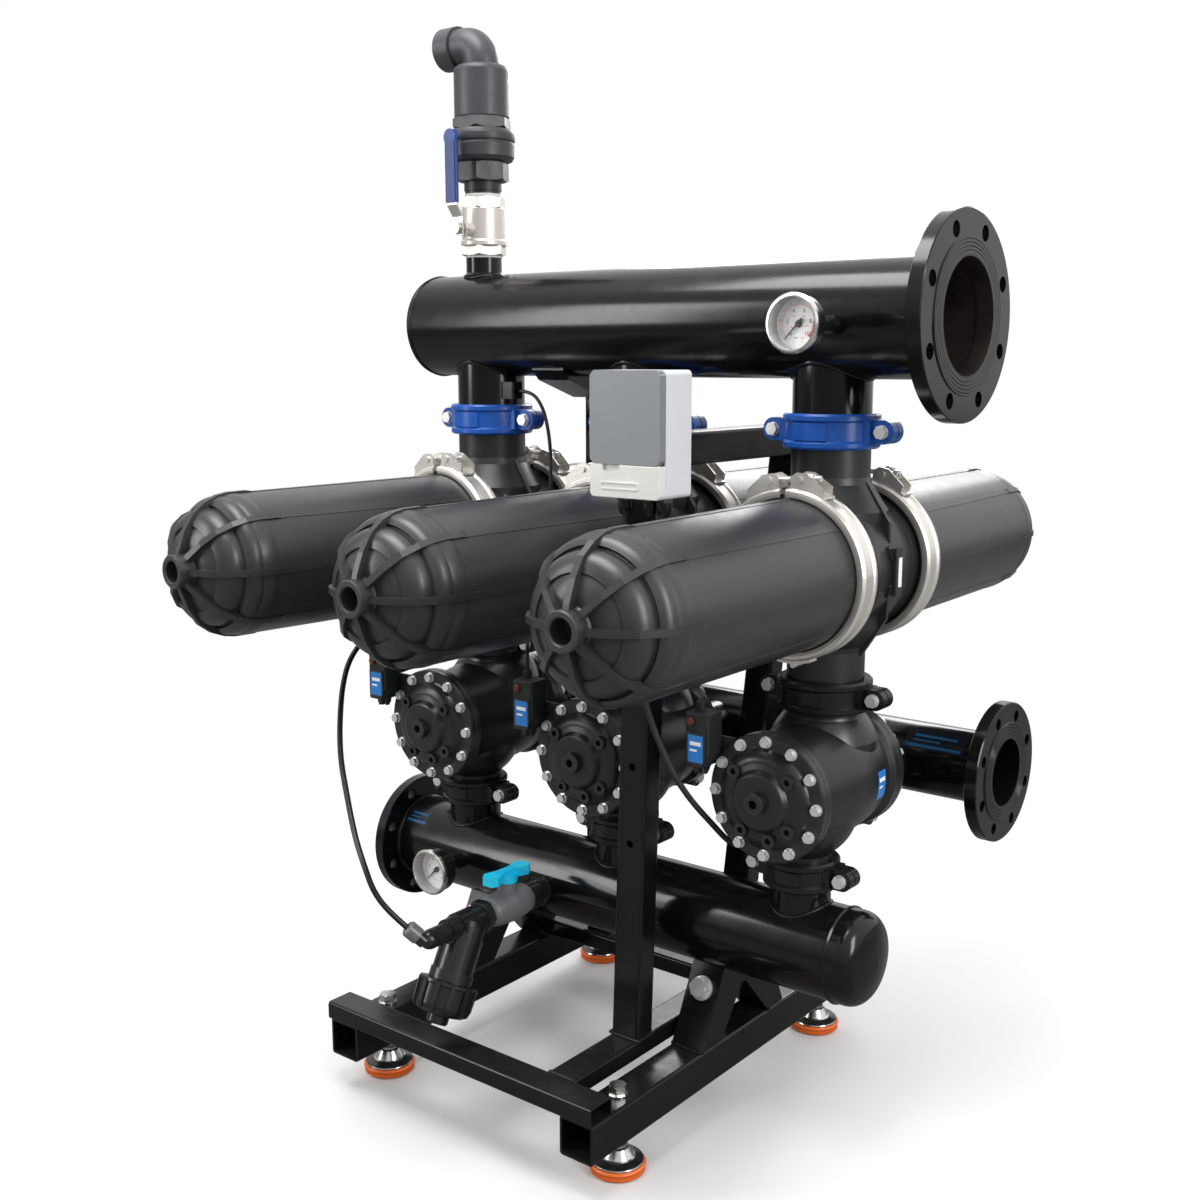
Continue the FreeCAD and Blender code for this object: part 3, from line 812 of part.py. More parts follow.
# side outlet with a hose tail that looks up and to the left
T0 = (0, y2 - 133.8, 0)
TD = (-18.0, -18.0, 24.0)
stb = stb.fuse(cyl((0, y2 - 60, 0), (0, -1, 0), 19, 28)).fuse(hexp(34, 10, (0, y2 - 68, 0), (0, -1, 0))).fuse(cyl((0, y2 - 84, 0), (0, -1, 0), 15, 40)).fuse(hexp(26, 9, (0, y2 - 106, 0), (0, -1, 0)))
stb = stb.fuse(Part.makeSphere(14.6, V(0, y2 - 124, 0))).fuse(place(rev([(0, 0), (11, 0), (11, 12), (13, 13), (13, 32), (10, 35), (0, 35)]), T0, TD))
stb = stb.cut(place(cyl((0, 0, -4), (0, 0, 1), 24, 120), S0, db)).cut(cyl((0, y2 + 1, 0), (0, -1, 0), 11, 50)).cut(cyl((0, y2 - 50, 0), (0, -1, 0), 4.6, 84))
stb = stb.cut(place(cyl((0, 0, -1), (0, 0, 1), 4.6, 50), T0, TD))
stb = stb.removeSplitter()
out("strainer_body", at(max(stb.Solids, key=lambda q: q.Volume), SX, 0, SZ))
capp = fuse(rev([(0, 92.4), (45, 92.4), (46, 93.5), (46, 98), (44, 100), (43, 130), (41, 137), (36, 141), (26, 143), (17, 144), (17, 154), (15, 157), (0, 157)]), hexp(29, 9, (0, 0, 146)))
for k in range(12):
    rb = Part.Face(Part.makePolygon([V(40, 0, 95), V(47.5, 0, 95), V(46.5, 0, 128), V(43.5, 0, 137), V(38, 0, 139), V(38, 0, 95), V(40, 0, 95)])).extrude(V(0, 7, 0))
    rb.translate(V(0, -3.5, 0))
    capp = capp.fuse(rot(rb, (0, 0, 0), (0, 0, 1), 30.0 * k + 8))
# the screen stands on the cap, inside the body
capp = capp.fuse(tube((0, 0, 10), (0, 0, 1), 20, 18, 84))
out("strainer_cap", at(place(max(capp.removeSplitter().Solids, key=lambda q: q.Volume), S0, db), SX, 0, SZ))


# ---------------- hoses and cables ----------------
def hose(pts, dia, name):
    P = [V(*p) for p in pts]
    L = [(P[i + 1] - P[i]).Length for i in range(len(P) - 1)]
    segs = []
    cur = P[0]
    rmin = 1e9
    for i in range(1, len(P) - 1):
        a = (P[i - 1] - P[i]).normalize()
        b = (P[i + 1] - P[i]).normalize()
        ang = math.pi - math.acos(max(-1, min(1, a.dot(b))))
        t = 0.45 * min(L[i - 1], L[i])
        r = t / math.tan(ang / 2)
        rmin = min(rmin, r)
        p1 = P[i] + a * t
        p2 = P[i] + b * t
        m = (a + b).normalize()
        pm = P[i] + m * (r / math.cos(ang / 2) - r)
        segs.append(Part.LineSegment(cur, p1).toShape())
        segs.append(Part.Arc(p1, pm, p2).toShape())
        cur = p2
    segs.append(Part.LineSegment(cur, P[-1]).toShape())
    w = Part.Wire(segs)
    c = Part.Wire([Part.Circle(P[0], (P[1] - P[0]), dia / 2).toShape()])
    s = w.makePipeShell([c], True, True)
    ln = sum(e.Length for e in segs)
    print(name, "length %.0f" % ln, "min bend radius %.1f" % rmin, "volume ratio %.4f" % (s.Volume / (ln * math.pi * dia * dia / 4)))
    out(name, s)


HX, HYY, HZ = SX + 35.3 * TD[0] / 35.0, T0[1] + 35.3 * TD[1] / 35.0, SZ + 35.3 * TD[2] / 35.0     # mouth of the hose tail
hose([(HX, HYY, HZ), (HX + TD[0] * 0.8, HYY + TD[1] * 0.8, HZ + TD[2] * 0.8), (-163, -456, 401), (-190, -449, 434), (-222, -435, 462), (-252, -418, 490), (-284, -398, 520), (-318, -377, 555), (-345, -355, 588),
      (-370.0, -330, 622), (-397.0, -300, 656), (-422.0, -262, 690), (-435, -214, 718), (-438, -160, 735), (-437, -95.3, 738), (-437, -66, 710.7), (-437, -66, 674.3), (-437, -95.3, 645), (-437, SB[1] + 19.1, 645)], 9.0, "control_hose")
hose([(-332 + 76.3, -17, 1131), (-226, -17, 1131), (-202, -17, 1107), (-190, -17, 1070), (-184, -18, 1030), (-181.9, -21, 988), (-181.5, -24, 945), (-180.5, -28, 902), (-176.5, -42, 862),
      (-168, -64, 826), (-154.0, -98, 792), (-134, -135, 765), (-114, -161, 745), (-105, -172, 722), (-105, -172, Z_V + SB[2] + 52.3)], 6.0, "riser_hose")
hose([(CX0 + 32, CY0 + 40, CZ0 - 26.4), (CX0 + 32, -238, 935.0), (145.8, -240.9, 880), (152.8, -242.1, 828), (161.6, -242.4, 778.3), (170.0, -240.6, 731.0), (179.4, -235.0, 684.2), (192.8, -224.6, 639.2),
      (208.1, -212.8, 596.2), (224.9, -193.2, 556.0), (242.0, -166.1, 518.9), (332 - 0.7071 * 100, Y_LO - 0.7071 * 100, 471), (332 - 0.7071 * 60.3, Y_LO - 0.7071 * 60.3, 471)], 9.0, "valve_cable")

print(len(NODES), "nodes")
bbx = Part.makeCompound(list(NODES.values())).BoundBox
print("bbox", bbx.XMin, bbx.XMax, bbx.YMin, bbx.YMax, bbx.ZMin, bbx.ZMax)
for n, s in NODES.items():
    if not s.isValid():
        print("INVALID", n)
    print("%-24s solids %2d  vol %.0f cm3" % (n, len(s.Solids), s.Volume / 1000))
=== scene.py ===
import bpy
import bmesh
import math
import random
from mathutils import Vector, Matrix


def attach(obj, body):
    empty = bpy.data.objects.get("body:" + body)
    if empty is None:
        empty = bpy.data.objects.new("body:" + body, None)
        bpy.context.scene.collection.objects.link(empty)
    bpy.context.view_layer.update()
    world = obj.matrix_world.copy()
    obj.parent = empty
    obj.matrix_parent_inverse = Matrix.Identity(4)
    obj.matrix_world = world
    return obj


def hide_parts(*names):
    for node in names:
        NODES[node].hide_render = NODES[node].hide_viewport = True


random.seed(7)
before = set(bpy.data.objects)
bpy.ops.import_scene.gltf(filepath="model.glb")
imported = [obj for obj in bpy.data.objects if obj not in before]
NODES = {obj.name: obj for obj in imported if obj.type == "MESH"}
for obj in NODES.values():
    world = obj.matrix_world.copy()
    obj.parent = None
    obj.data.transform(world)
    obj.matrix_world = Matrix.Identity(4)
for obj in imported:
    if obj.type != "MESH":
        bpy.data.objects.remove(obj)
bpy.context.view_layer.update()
scene = bpy.context.scene
root = scene.collection

# ---------------------------------------------------------------- camera
cd = bpy.data.cameras.new("camera")
cd.sensor_fit = "HORIZONTAL"
cd.sensor_width = 36.0
cd.lens = 42.53
cd.clip_start = 0.05
cd.clip_end = 60.0
cam = bpy.data.objects.new("camera", cd)
root.objects.link(cam)
az, pt, ro = math.radians(38.4), math.radians(9.8), math.radians(0.1)
f = Vector((-math.sin(az) * math.cos(pt), math.cos(az) * math.cos(pt), -math.sin(pt)))
r0 = Vector((math.cos(az), math.sin(az), 0.0))
d0 = f.cross(r0)
R = math.cos(ro) * r0 + math.sin(ro) * d0
D = -math.sin(ro) * r0 + math.cos(ro) * d0
m = Matrix((R, -D, -f)).transposed().to_4x4()
m.translation = Vector((1.3188, -1.8179, 1.1800))
cam.matrix_world = m
scene.camera = cam


# ---------------------------------------------------------------- material tools
class Mat:
    """A small builder for procedural materials; lengths in metres."""

    def __init__(self, name):
        self.m = bpy.data.materials.new(name)
        self.m.use_nodes = True
        self.nt = self.m.node_tree
        self.b = [n for n in self.nt.nodes if n.type == "BSDF_PRINCIPLED"][0]
        self.co = self.nt.nodes.new("ShaderNodeTexCoord").outputs["Object"]
        self.normal = None

    def new(self, kind, **kw):
        n = self.nt.nodes.new(kind)
        for k, v in kw.items():
            setattr(n, k, v)
        return n

    def put(self, sock, v):
        if hasattr(v, "is_output") or isinstance(v, bpy.types.NodeSocket):
            self.nt.links.new(v, sock)
        else:
            if isinstance(v, (tuple, list)) and len(v) == 3 and sock.type == "RGBA":
                v = (*v, 1.0)
            sock.default_value = v

    def set(self, **kw):
        for k, v in kw.items():
            self.put(self.b.inputs[k.replace("_", " ")], v)

    def scaled(self, s, co=None):
        n = self.new("ShaderNodeMapping")
        self.put(n.inputs["Vector"], co or self.co)
        n.inputs["Scale"].default_value = s
        return n.outputs["Vector"]

    def noise(self, scale, detail=3.0, rough=0.55, stretch=None, distort=0.0):
        n = self.new("ShaderNodeTexNoise")
        self.put(n.inputs["Vector"], self.scaled(stretch) if stretch else self.co)
        n.inputs["Scale"].default_value = scale
        n.inputs["Detail"].default_value = detail
        n.inputs["Roughness"].default_value = rough
        n.inputs["Distortion"].default_value = distort
        return n.outputs["Fac"]

    def voronoi(self, scale, feature="F1", stretch=None):
        n = self.new("ShaderNodeTexVoronoi", feature=feature)
        self.put(n.inputs["Vector"], self.scaled(stretch) if stretch else self.co)
        n.inputs["Scale"].default_value = scale
        return n.outputs["Distance"]

    def rng(self, v, a, b, c, d):
        n = self.new("ShaderNodeMapRange")
        self.put(n.inputs["Value"], v)
        n.inputs["From Min"].default_value = a
        n.inputs["From Max"].default_value = b
        n.inputs["To Min"].default_value = c
        n.inputs["To Max"].default_value = d
        return n.outputs["Result"]

    def math(self, op, a, b=0.0, c=0.0):
        n = self.new("ShaderNodeMath", operation=op)
        self.put(n.inputs[0], a)
        self.put(n.inputs[1], b)
        if op in ("MULTIPLY_ADD", "COMPARE", "SMOOTH_MIN"):
            self.put(n.inputs[2], c)
        return n.outputs[0]

    def mix(self, fac, a, b):
        n = self.new("ShaderNodeMix", data_type="RGBA")
        self.put(n.inputs[0], fac)
        self.put(n.inputs[6], a)
        self.put(n.inputs[7], b)
        return n.outputs[2]

    def xyz(self):
        n = self.new("ShaderNodeSeparateXYZ")
        self.put(n.inputs[0], self.co)
        return n.outputs

    def bump(self, height, strength, dist):
        n = self.new("ShaderNodeBump")
        n.inputs["Strength"].default_value = strength
        n.inputs["Distance"].default_value = dist
        self.put(n.inputs["Height"], height)
        if self.normal:
            self.put(n.inputs["Normal"], self.normal)
        self.normal = n.outputs["Normal"]
        self.put(self.b.inputs["Normal"], self.normal)

    def up(self):
        """1 on faces that look up, 0 elsewhere."""
        g = self.new("ShaderNodeNewGeometry")
        s = self.new("ShaderNodeSeparateXYZ")
        self.put(s.inputs[0], g.outputs["Normal"])
        return self.rng(s.outputs[2], 0.35, 0.95, 0.0, 1.0)

    def pointy(self, a=0.505, b=0.56):
        g = self.new("ShaderNodeNewGeometry")
        return self.rng(g.outputs["Pointiness"], a, b, 0.0, 1.0)


def paint(name, base, light, rough=(0.12, 0.18), dust=0.03, peel=0.10, spec=0.3, rust=None, coat=0.0):
    """Sprayed gloss paint on steel: orange peel, slight waviness, a breath of dust on top."""
    k = Mat(name)
    n1 = k.noise(5.0, 3)
    n2 = k.noise(40.0, 4, 0.6)
    c = k.mix(k.rng(n1, 0.35, 0.7, 0, 1), base, light)
    d = k.math("MULTIPLY", k.up(), k.rng(n2, 0.35, 0.75, dust * 0.4, dust))
    c = k.mix(d, c, (0.20, 0.20, 0.20))
    r = k.math("ADD", k.rng(n2, 0.3, 0.75, rough[0], rough[1]), k.math("MULTIPLY", d, 0.9))
    if rust:
        c, r = rust(k, c, r)
    k.set(Base_Color=c, Roughness=r, Specular_IOR_Level=spec)
    k.bump(k.noise(16.0, 2, 0.4), 0.06, 0.0010)
    k.bump(k.noise(330.0, 2, 0.5), peel, 0.00018)
    return k.m


def moulded(name, base, light, rough=(0.42, 0.56), grain=1500.0, depth=0.18, streak=None, spec=0.45, scuff=0.10):
    """Injection-moulded plastic: fine spark-eroded grain, flow streaks, faint handling scuffs."""
    k = Mat(name)
    n1 = k.noise(7.0, 5, 0.6, streak)
    n2 = k.noise(48.0, 6, 0.7)
    c = k.mix(k.rng(n1, 0.32, 0.70, 0, 1), base, light)
    s1 = k.rng(k.noise(95.0, 8, 0.75, streak, 0.6), 0.60, 0.74, 0.0, scuff)
    lc = tuple(min(1.0, v * 3.2 + 0.02) for v in light)
    c = k.mix(s1, c, lc)
    e = k.math("MULTIPLY", k.pointy(0.51, 0.60), 0.20)
    c = k.mix(e, c, lc)
    r = k.math("ADD", k.rng(n2, 0.3, 0.75, rough[0], rough[1]), k.math("MULTIPLY", s1, 0.6))
    k.set(Base_Color=c, Roughness=r, Specular_IOR_Level=spec)
    k.bump(k.noise(14.0, 2, 0.4), 0.10, 0.0012)
    k.bump(k.noise(grain, 2, 0.5), depth, 0.00012)
    return k.m


def metal(name, base, dark, rough=(0.22, 0.32), brush=None, depth=0.05, scale=900.0, stain=0.3, met=1.0):
    k = Mat(name)
    n1 = k.noise(22.0, 3, 0.5)
    c = k.mix(k.rng(n1, 0.38, 0.72, 0.0, stain), base, dark)
    n2 = k.noise(scale, 2, 0.5, brush)
    c = k.mix(k.rng(n2, 0.40, 0.66, 0.0, 0.06), c, tuple(v * 0.70 for v in base))
    c = k.mix(k.math("MULTIPLY", k.rng(k.noise(90.0, 5, 0.6), 0.64, 0.74, 0.0, 1.0), 0.10), c, tuple(v * 0.45 for v in dark))
    r = k.math("ADD", k.rng(n1, 0.3, 0.75, rough[0], rough[1]), k.rng(n2, 0.35, 0.7, -0.02, 0.04))
    k.set(Base_Color=c, Roughness=r, Metallic=met)
    k.bump(n2, depth, 0.00006)
    return k.m


def E(x, y, z):
    """Drawing millimetres to the shared frame."""
    return Vector(((x - 27.5) / 1000.0, y / 1000.0, (z - 10.0) / 1000.0))


# ---------------------------------------------------------------- cords
def route(pts):
    return [((x - 27.5) / 1000.0, y / 1000.0, (z - 10.0) / 1000.0) for x, y, z in pts]


def spline_cord(name, pts, dia, node, mat):
    cu = bpy.data.curves.new(name, "CURVE")
    cu.dimensions = "3D"
    cu.twist_mode = "MINIMUM"
    sp = cu.splines.new("NURBS")
    sp.points.add(len(pts) - 1)
    for q, p in zip(sp.points, pts):
        q.co = (p[0], p[1], p[2], 1.0)
    sp.order_u = 3
    sp.use_endpoint_u = True
    sp.resolution_u = 10
    cu.bevel_depth = dia / 2.0
    cu.bevel_resolution = 6
    cu.use_fill_caps = True
    cu.materials.append(mat)
    o = bpy.data.objects.new(name, cu)
    root.objects.link(o)
    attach(o, "filter_set")
    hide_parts(node)
    return o


def hose_mat(name, base, light, rough, braid=False):
    k = Mat(name)
    n = k.noise(60.0, 5, 0.6)
    c = k.mix(k.rng(n, 0.35, 0.7, 0, 1), base, light)
    sc = k.rng(k.noise(220.0, 6, 0.7), 0.62, 0.72, 0.0, 0.25)
    c = k.mix(sc, c, (0.05, 0.05, 0.05))
    k.set(Base_Color=c, Roughness=k.rng(n, 0.3, 0.7, rough[0], rough[1]), Specular_IOR_Level=0.4)
    if braid:
        w = []
        for s in ((1.0, 0.6, 1.0), (1.0, 0.6, -1.0)):
            wv = k.new("ShaderNodeTexWave", wave_type="BANDS", bands_direction="DIAGONAL")
            k.put(wv.inputs["Vector"], k.scaled(s))
            wv.inputs["Scale"].default_value = 190.0
            wv.inputs["Distortion"].default_value = 0.4
            w.append(wv.outputs["Fac"])
        h = k.math("MAXIMUM", w[0], w[1])
        k.put(k.b.inputs["Base Color"], k.mix(k.rng(h, 0.55, 0.95, 0.0, 0.5), c, (0.040, 0.040, 0.042)))
        k.bump(h, 0.5, 0.0005)
    else:
        k.bump(k.noise(500.0, 2), 0.08, 0.0003)
    return k.m


M_HOSE = hose_mat("hose_black", (0.0045, 0.0045, 0.0050), (0.0080, 0.0080, 0.0088), (0.26, 0.38))
M_LOOM = hose_mat("loom_black", (0.0060, 0.0060, 0.0066), (0.0110, 0.0110, 0.0118), (0.45, 0.58), True)

TAIL = Vector((-18.0, -18.0, 24.0))
MOUTH = Vector((-104.0, -412.0, 326.0)) + TAIL * (35.3 / 35.0)
spline_cord("control_hose_line", route([
    tuple(MOUTH), tuple(MOUTH + TAIL * 0.8), (-163, -456, 401), (-190, -449, 434), (-222, -435, 462), (-252, -418, 490),
    (-284, -398, 520), (-318, -377, 555), (-345, -355, 588), (-370, -330, 622), (-397, -300, 656), (-422, -262, 690),
    (-435, -214, 718), (-438, -160, 735), (-437, -95.3, 738), (-437, -66, 710.7),
    (-437, -66, 674.3), (-437, -95.3, 645), (-437, -156.9, 645)]), 0.009, "control_hose", M_HOSE)
spline_cord("riser_hose_line", route([
    (-255.7, -17, 1131), (-226, -17, 1131), (-202, -17, 1107), (-190, -17, 1070), (-184, -18, 1030), (-181.9, -21, 988),
    (-181.5, -24, 945), (-180.5, -28, 902), (-176.5, -42, 862), (-168, -64, 826), (-154, -98, 792), (-134, -135, 765),
    (-114, -161, 745), (-105, -172, 722), (-105, -172, 699.3)]), 0.006, "riser_hose", M_HOSE)
spline_cord("valve_cable_line", route([
    (140, -238, 969.6), (140, -238, 935), (145.8, -240.9, 880), (152.8, -242.1, 828), (161.6, -242.4, 778.3), (170, -240.6, 731),
    (179.4, -235, 684.2), (192.8, -224.6, 639.2), (208.1, -212.8, 596.2), (224.9, -193.2, 556.0), (242.0, -166.1, 518.9),
    (261.29, -127.71, 471), (289.36, -99.64, 471)]), 0.009, "valve_cable", M_LOOM)


# ---------------------------------------------------------------- materials of the CAD nodes
def rust_bore(cy, cz, rad):
    """Brown oxide on the bare inside of a pipe."""
    def f_(k, c, r):
        x, y, z = k.xyz()
        dy = k.math("SUBTRACT", y, cy)
        dz = k.math("SUBTRACT", z, cz)
        d = k.math("SQRT", k.math("ADD", k.math("MULTIPLY", dy, dy), k.math("MULTIPLY", dz, dz)))
        inside = k.math("MULTIPLY", k.rng(d, rad - 0.0004, rad, 1.0, 0.0), k.rng(x, -0.462, -0.460, 0.0, 1.0))
        n = k.noise(24.0, 6, 0.65)
        ru = k.mix(k.rng(n, 0.35, 0.68, 0, 1), (0.010, 0.0080, 0.0072), (0.028, 0.020, 0.0165))
        return k.mix(inside, c, ru), k.math("ADD", r, k.math("MULTIPLY", inside, 0.35))
    return f_


BLK, BLK2 = (0.0032, 0.0032, 0.0035), (0.0052, 0.0052, 0.0056)
M_FRAME = paint("black_gloss_frame", (0.0036, 0.0036, 0.0039), (0.0062, 0.0062, 0.0066), (0.17, 0.25), 0.05, 0.12, 0.30)
M_UPPER = paint("black_gloss_upper", BLK, BLK2, (0.15, 0.21), 0.02, 0.06, 0.34, rust_bore(0.0, 1.230, 0.0815))
M_LOWER = paint("black_gloss_lower", BLK, BLK2, (0.13, 0.19), 0.02, 0.06, 0.34)
M_DRAIN = paint("black_gloss_drain", BLK, BLK2, (0.12, 0.18), 0.02, 0.06, 0.34)
M_BLUE = paint("blue_coupling_paint", (0.0075, 0.062, 0.300), (0.0100, 0.077, 0.350), (0.22, 0.32), 0.03, 0.30, 0.42)
M_CAST = paint("black_coupling_paint", (0.0045, 0.0045, 0.0050), (0.0080, 0.0080, 0.0088), (0.24, 0.34), 0.04, 0.30, 0.36)
M_BARREL = moulded("barrel_plastic", (0.0205, 0.0208, 0.0216), (0.0275, 0.0279, 0.0288), (0.31, 0.41), 1400.0, 0.10, (2.2, 0.35, 2.2), 0.50, 0.04)
M_BODY = moulded("body_plastic", (0.0105, 0.0108, 0.0114), (0.0150, 0.0154, 0.0162), (0.34, 0.44), 1400.0, 0.10, None, 0.45, 0.04)
M_VALVE = moulded("valve_plastic", (0.0088, 0.0091, 0.0096), (0.0135, 0.0139, 0.0147), (0.27, 0.37), 1100.0, 0.12, None, 0.50, 0.04)
M_BOX = moulded("solenoid_plastic", (0.0100, 0.0104, 0.0114), (0.0150, 0.0156, 0.0168), (0.42, 0.54), 1700.0, 0.20, None, 0.38, 0.05)
M_STRAIN = moulded("strainer_plastic", (0.0052, 0.0055, 0.0060), (0.0090, 0.0094, 0.0100), (0.20, 0.30), 900.0, 0.06, None, 0.42, 0.04)
M_RUBBER = moulded("gasket_black", (0.0080, 0.0080, 0.0080), (0.0140, 0.0140, 0.0140), (0.55, 0.70), 900.0, 0.2)
M_DISC = moulded("disc_red", (0.33, 0.035, 0.028), (0.42, 0.050, 0.038), (0.45, 0.6), 700.0, 0.3)
M_SPINE = moulded("spine_grey", (0.18, 0.18, 0.19), (0.24, 0.24, 0.25), (0.45, 0.6), 900.0, 0.2)
M_DOOR = moulded("door_grey", (0.128, 0.138, 0.142), (0.140, 0.150, 0.154), (0.36, 0.46), 1500.0, 0.12, None, 0.42, 0.02)
M_COVER = moulded("cover_offwhite", (0.60, 0.60, 0.565), (0.63, 0.63, 0.595), (0.36, 0.46), 1500.0, 0.12, None, 0.40, 0.02)
M_CASE = moulded("case_white", (0.53, 0.55, 0.575), (0.56, 0.58, 0.605), (0.34, 0.44), 1500.0, 0.12, None, 0.40, 0.02)
M_ORANGE = moulded("foot_orange", (0.66, 0.090, 0.008), (0.74, 0.115, 0.014), (0.36, 0.50), 600.0, 0.15, None, 0.45, 0.05)
M_CYAN = moulded("handle_cyan", (0.003, 0.355, 0.63), (0.005, 0.410, 0.70), (0.26, 0.38), 900.0, 0.08, None, 0.45, 0.03)
M_GRIP = moulded("grip_blue", (0.0014, 0.0170, 0.100), (0.0024, 0.0230, 0.125), (0.30, 0.42), 700.0, 0.12, None, 0.42, 0.04)
M_ZINC = metal("zinc_plate", (0.78, 0.78, 0.77), (0.66, 0.66, 0.63), (0.26, 0.36), None, 0.02, 700.0, 0.2, 0.66)
M_CLAMP = metal("stainless_band", (0.76, 0.73, 0.68), (0.70, 0.67, 0.62), (0.33, 0.39), None, 0.005, 900.0, 0.15, 0.80)
M_LATCH = metal("stainless_latch", (0.74, 0.715, 0.67), (0.66, 0.63, 0.585), (0.26, 0.34), None, 0.01, 700.0, 0.15, 0.78)
M_NICKEL = metal("nickel_plate", (0.61, 0.575, 0.53), (0.54, 0.505, 0.46), (0.34, 0.44), None, 0.02, 900.0, 0.2, 0.60)
M_LEVER = metal("lever_steel", (0.60, 0.585, 0.55), (0.50, 0.48, 0.44), (0.30, 0.40), None, 0.03, 900.0, 0.3, 0.75)
M_BEZEL = metal("gauge_bezel", (0.76, 0.75, 0.73), (0.62, 0.60, 0.56), (0.16, 0.26), None, 0.04, 900.0)


def gauge_mat():
    """Plated bezel in front, black case and stem behind."""
    k = Mat("gauge_case")
    x, y, z = k.xyz()
    n1 = k.noise(60.0, 3)
    # the rim of the case stands at the front 10 mm
    front = k.rng(y, -0.1961, -0.1959, 1.0, 0.0)
    c = k.mix(k.rng(n1, 0.35, 0.7, 0, 1), (0.0065, 0.0066, 0.0070), (0.0120, 0.0122, 0.0128))
    me = k.mix(k.rng(n1, 0.35, 0.7, 0, 1), (0.76, 0.75, 0.72), (0.66, 0.64, 0.60))
    # the wall of the well in front of the dial is pale
    near = None
    for gx, gz in ((383.0, 1230.0), (-304.0, 326.0)):
        q = E(gx, 0, gz)
        dx, dz = k.math("SUBTRACT", x, q.x), k.math("SUBTRACT", z, q.z)
        d = k.math("SQRT", k.math("ADD", k.math("MULTIPLY", dx, dx), k.math("MULTIPLY", dz, dz)))
        near = d if near is None else k.math("MINIMUM", near, d)
    well = k.math("MULTIPLY", k.rng(near, 0.0344, 0.0346, 1.0, 0.0), k.rng(y, -0.1835, -0.1833, 1.0, 0.0))
    c = k.mix(well, c, (0.40, 0.40, 0.395))
    me = k.mix(well, me, (0.40, 0.40, 0.395))
    front = k.math("MULTIPLY", front, k.math("SUBTRACT", 1.0, well))
    k.set(Base_Color=k.mix(front, c, me), Metallic=front, Roughness=k.rng(n1, 0.3, 0.7, 0.18, 0.28), Specular_IOR_Level=0.4)
    k.bump(k.noise(900.0, 2), 0.05, 0.0001)
    return k.m


def foot_steel():
    """Plated stud with a black-painted dish above the rubber."""
    k = Mat("foot_steel")
    x, y, z = k.xyz()
    n1 = k.noise(60.0, 5, 0.6)
    st = k.mix(k.rng(n1, 0.35, 0.7, 0, 1), (0.72, 0.71, 0.69), (0.46, 0.45, 0.43))
    bl = k.mix(k.rng(n1, 0.35, 0.7, 0, 1), (0.010, 0.010, 0.011), (0.020, 0.020, 0.021))
    fac = k.math("MULTIPLY", k.rng(z, 0.0178, 0.0181, 0.0, 1.0), k.rng(z, 0.0226, 0.0229, 1.0, 0.0))
    k.set(Base_Color=k.mix(fac, st, bl), Metallic=k.math("SUBTRACT", 1.0, fac), Roughness=k.rng(n1, 0.3, 0.7, 0.16, 0.30))
    k.bump(k.noise(500.0, 3), 0.10, 0.0003)
    return k.m


AIR_SPLIT = 1.5519


def pvc(name, two_tone=False):
    k = Mat(name)
    n1 = k.noise(16.0, 5, 0.6)
    a, b = ((0.036, 0.038, 0.042), (0.046, 0.048, 0.053)) if two_tone else ((0.105, 0.110, 0.116), (0.128, 0.133, 0.140))
    c = k.mix(k.rng(n1, 0.35, 0.7, 0, 1), a, b)
    if two_tone:
        x, y, z = k.xyz()
        dark = k.mix(k.rng(n1, 0.35, 0.7, 0, 1), (0.030, 0.032, 0.035), (0.038, 0.040, 0.044))
        dark = k.mix(k.rng(z, 1.4674, 1.4677, 1.0, 0.0), dark, (0.014, 0.015, 0.016))
        c = k.mix(k.rng(z, AIR_SPLIT, AIR_SPLIT + 0.0003, 1.0, 0.0), c, dark)
    else:
        x, y, z = k.xyz()
        dark = k.mix(k.rng(n1, 0.35, 0.7, 0, 1), (0.0085, 0.009, 0.0095), (0.0150, 0.0155, 0.0165))
        # the union nut next to the manifold is black
        c = k.mix(k.rng(y, -0.1865, -0.1863, 0.0, 1.0), c, dark)
    s1 = k.rng(k.noise(130.0, 8, 0.75), 0.62, 0.72, 0.0, 0.06)
    c = k.mix(s1, c, (0.20, 0.21, 0.22))
    k.set(Base_Color=c, Roughness=k.rng(k.noise(60.0, 5), 0.3, 0.7, 0.36, 0.50), Specular_IOR_Level=0.45)
    k.bump(k.noise(18.0, 2, 0.4), 0.10, 0.001)
    k.bump(k.noise(1300.0, 2), 0.14, 0.00012)
    return k.m


def strainer_mat():
    """Black glossy moulding with a light grey hose tail."""
    k = Mat("strainer_black")
    x, y, z = k.xyz()
    n1 = k.noise(22.0, 5, 0.6)
    c = k.mix(k.rng(n1, 0.35, 0.7, 0, 1), (0.0070, 0.0074, 0.0080), (0.0130, 0.0135, 0.0145))
    tail = k.mix(k.rng(n1, 0.35, 0.7, 0, 1), (0.100, 0.104, 0.108), (0.135, 0.139, 0.145))
    # the tail starts 12 mm along its own axis
    ax = k.math("ADD", k.math("ADD", k.math("MULTIPLY", k.math("ADD", x, 0.1315), -0.5145), k.math("MULTIPLY", k.math("ADD", y, 0.4120), -0.5145)), k.math("MULTIPLY", k.math("SUBTRACT", z, 0.3160), 0.6860))
    c = k.mix(k.math("MULTIPLY", k.rng(ax, 0.0119, 0.0121, 0.0, 1.0), k.rng(y, -0.4085, -0.4083, 1.0, 0.0)), c, tail)
    k.set(Base_Color=c, Roughness=k.rng(k.noise(60.0, 5), 0.3, 0.7, 0.20, 0.33), Specular_IOR_Level=0.5)
    k.bump(k.noise(20.0, 2, 0.4), 0.12, 0.001)
    k.bump(k.noise(900.0, 2), 0.10, 0.00012)
    return k.m


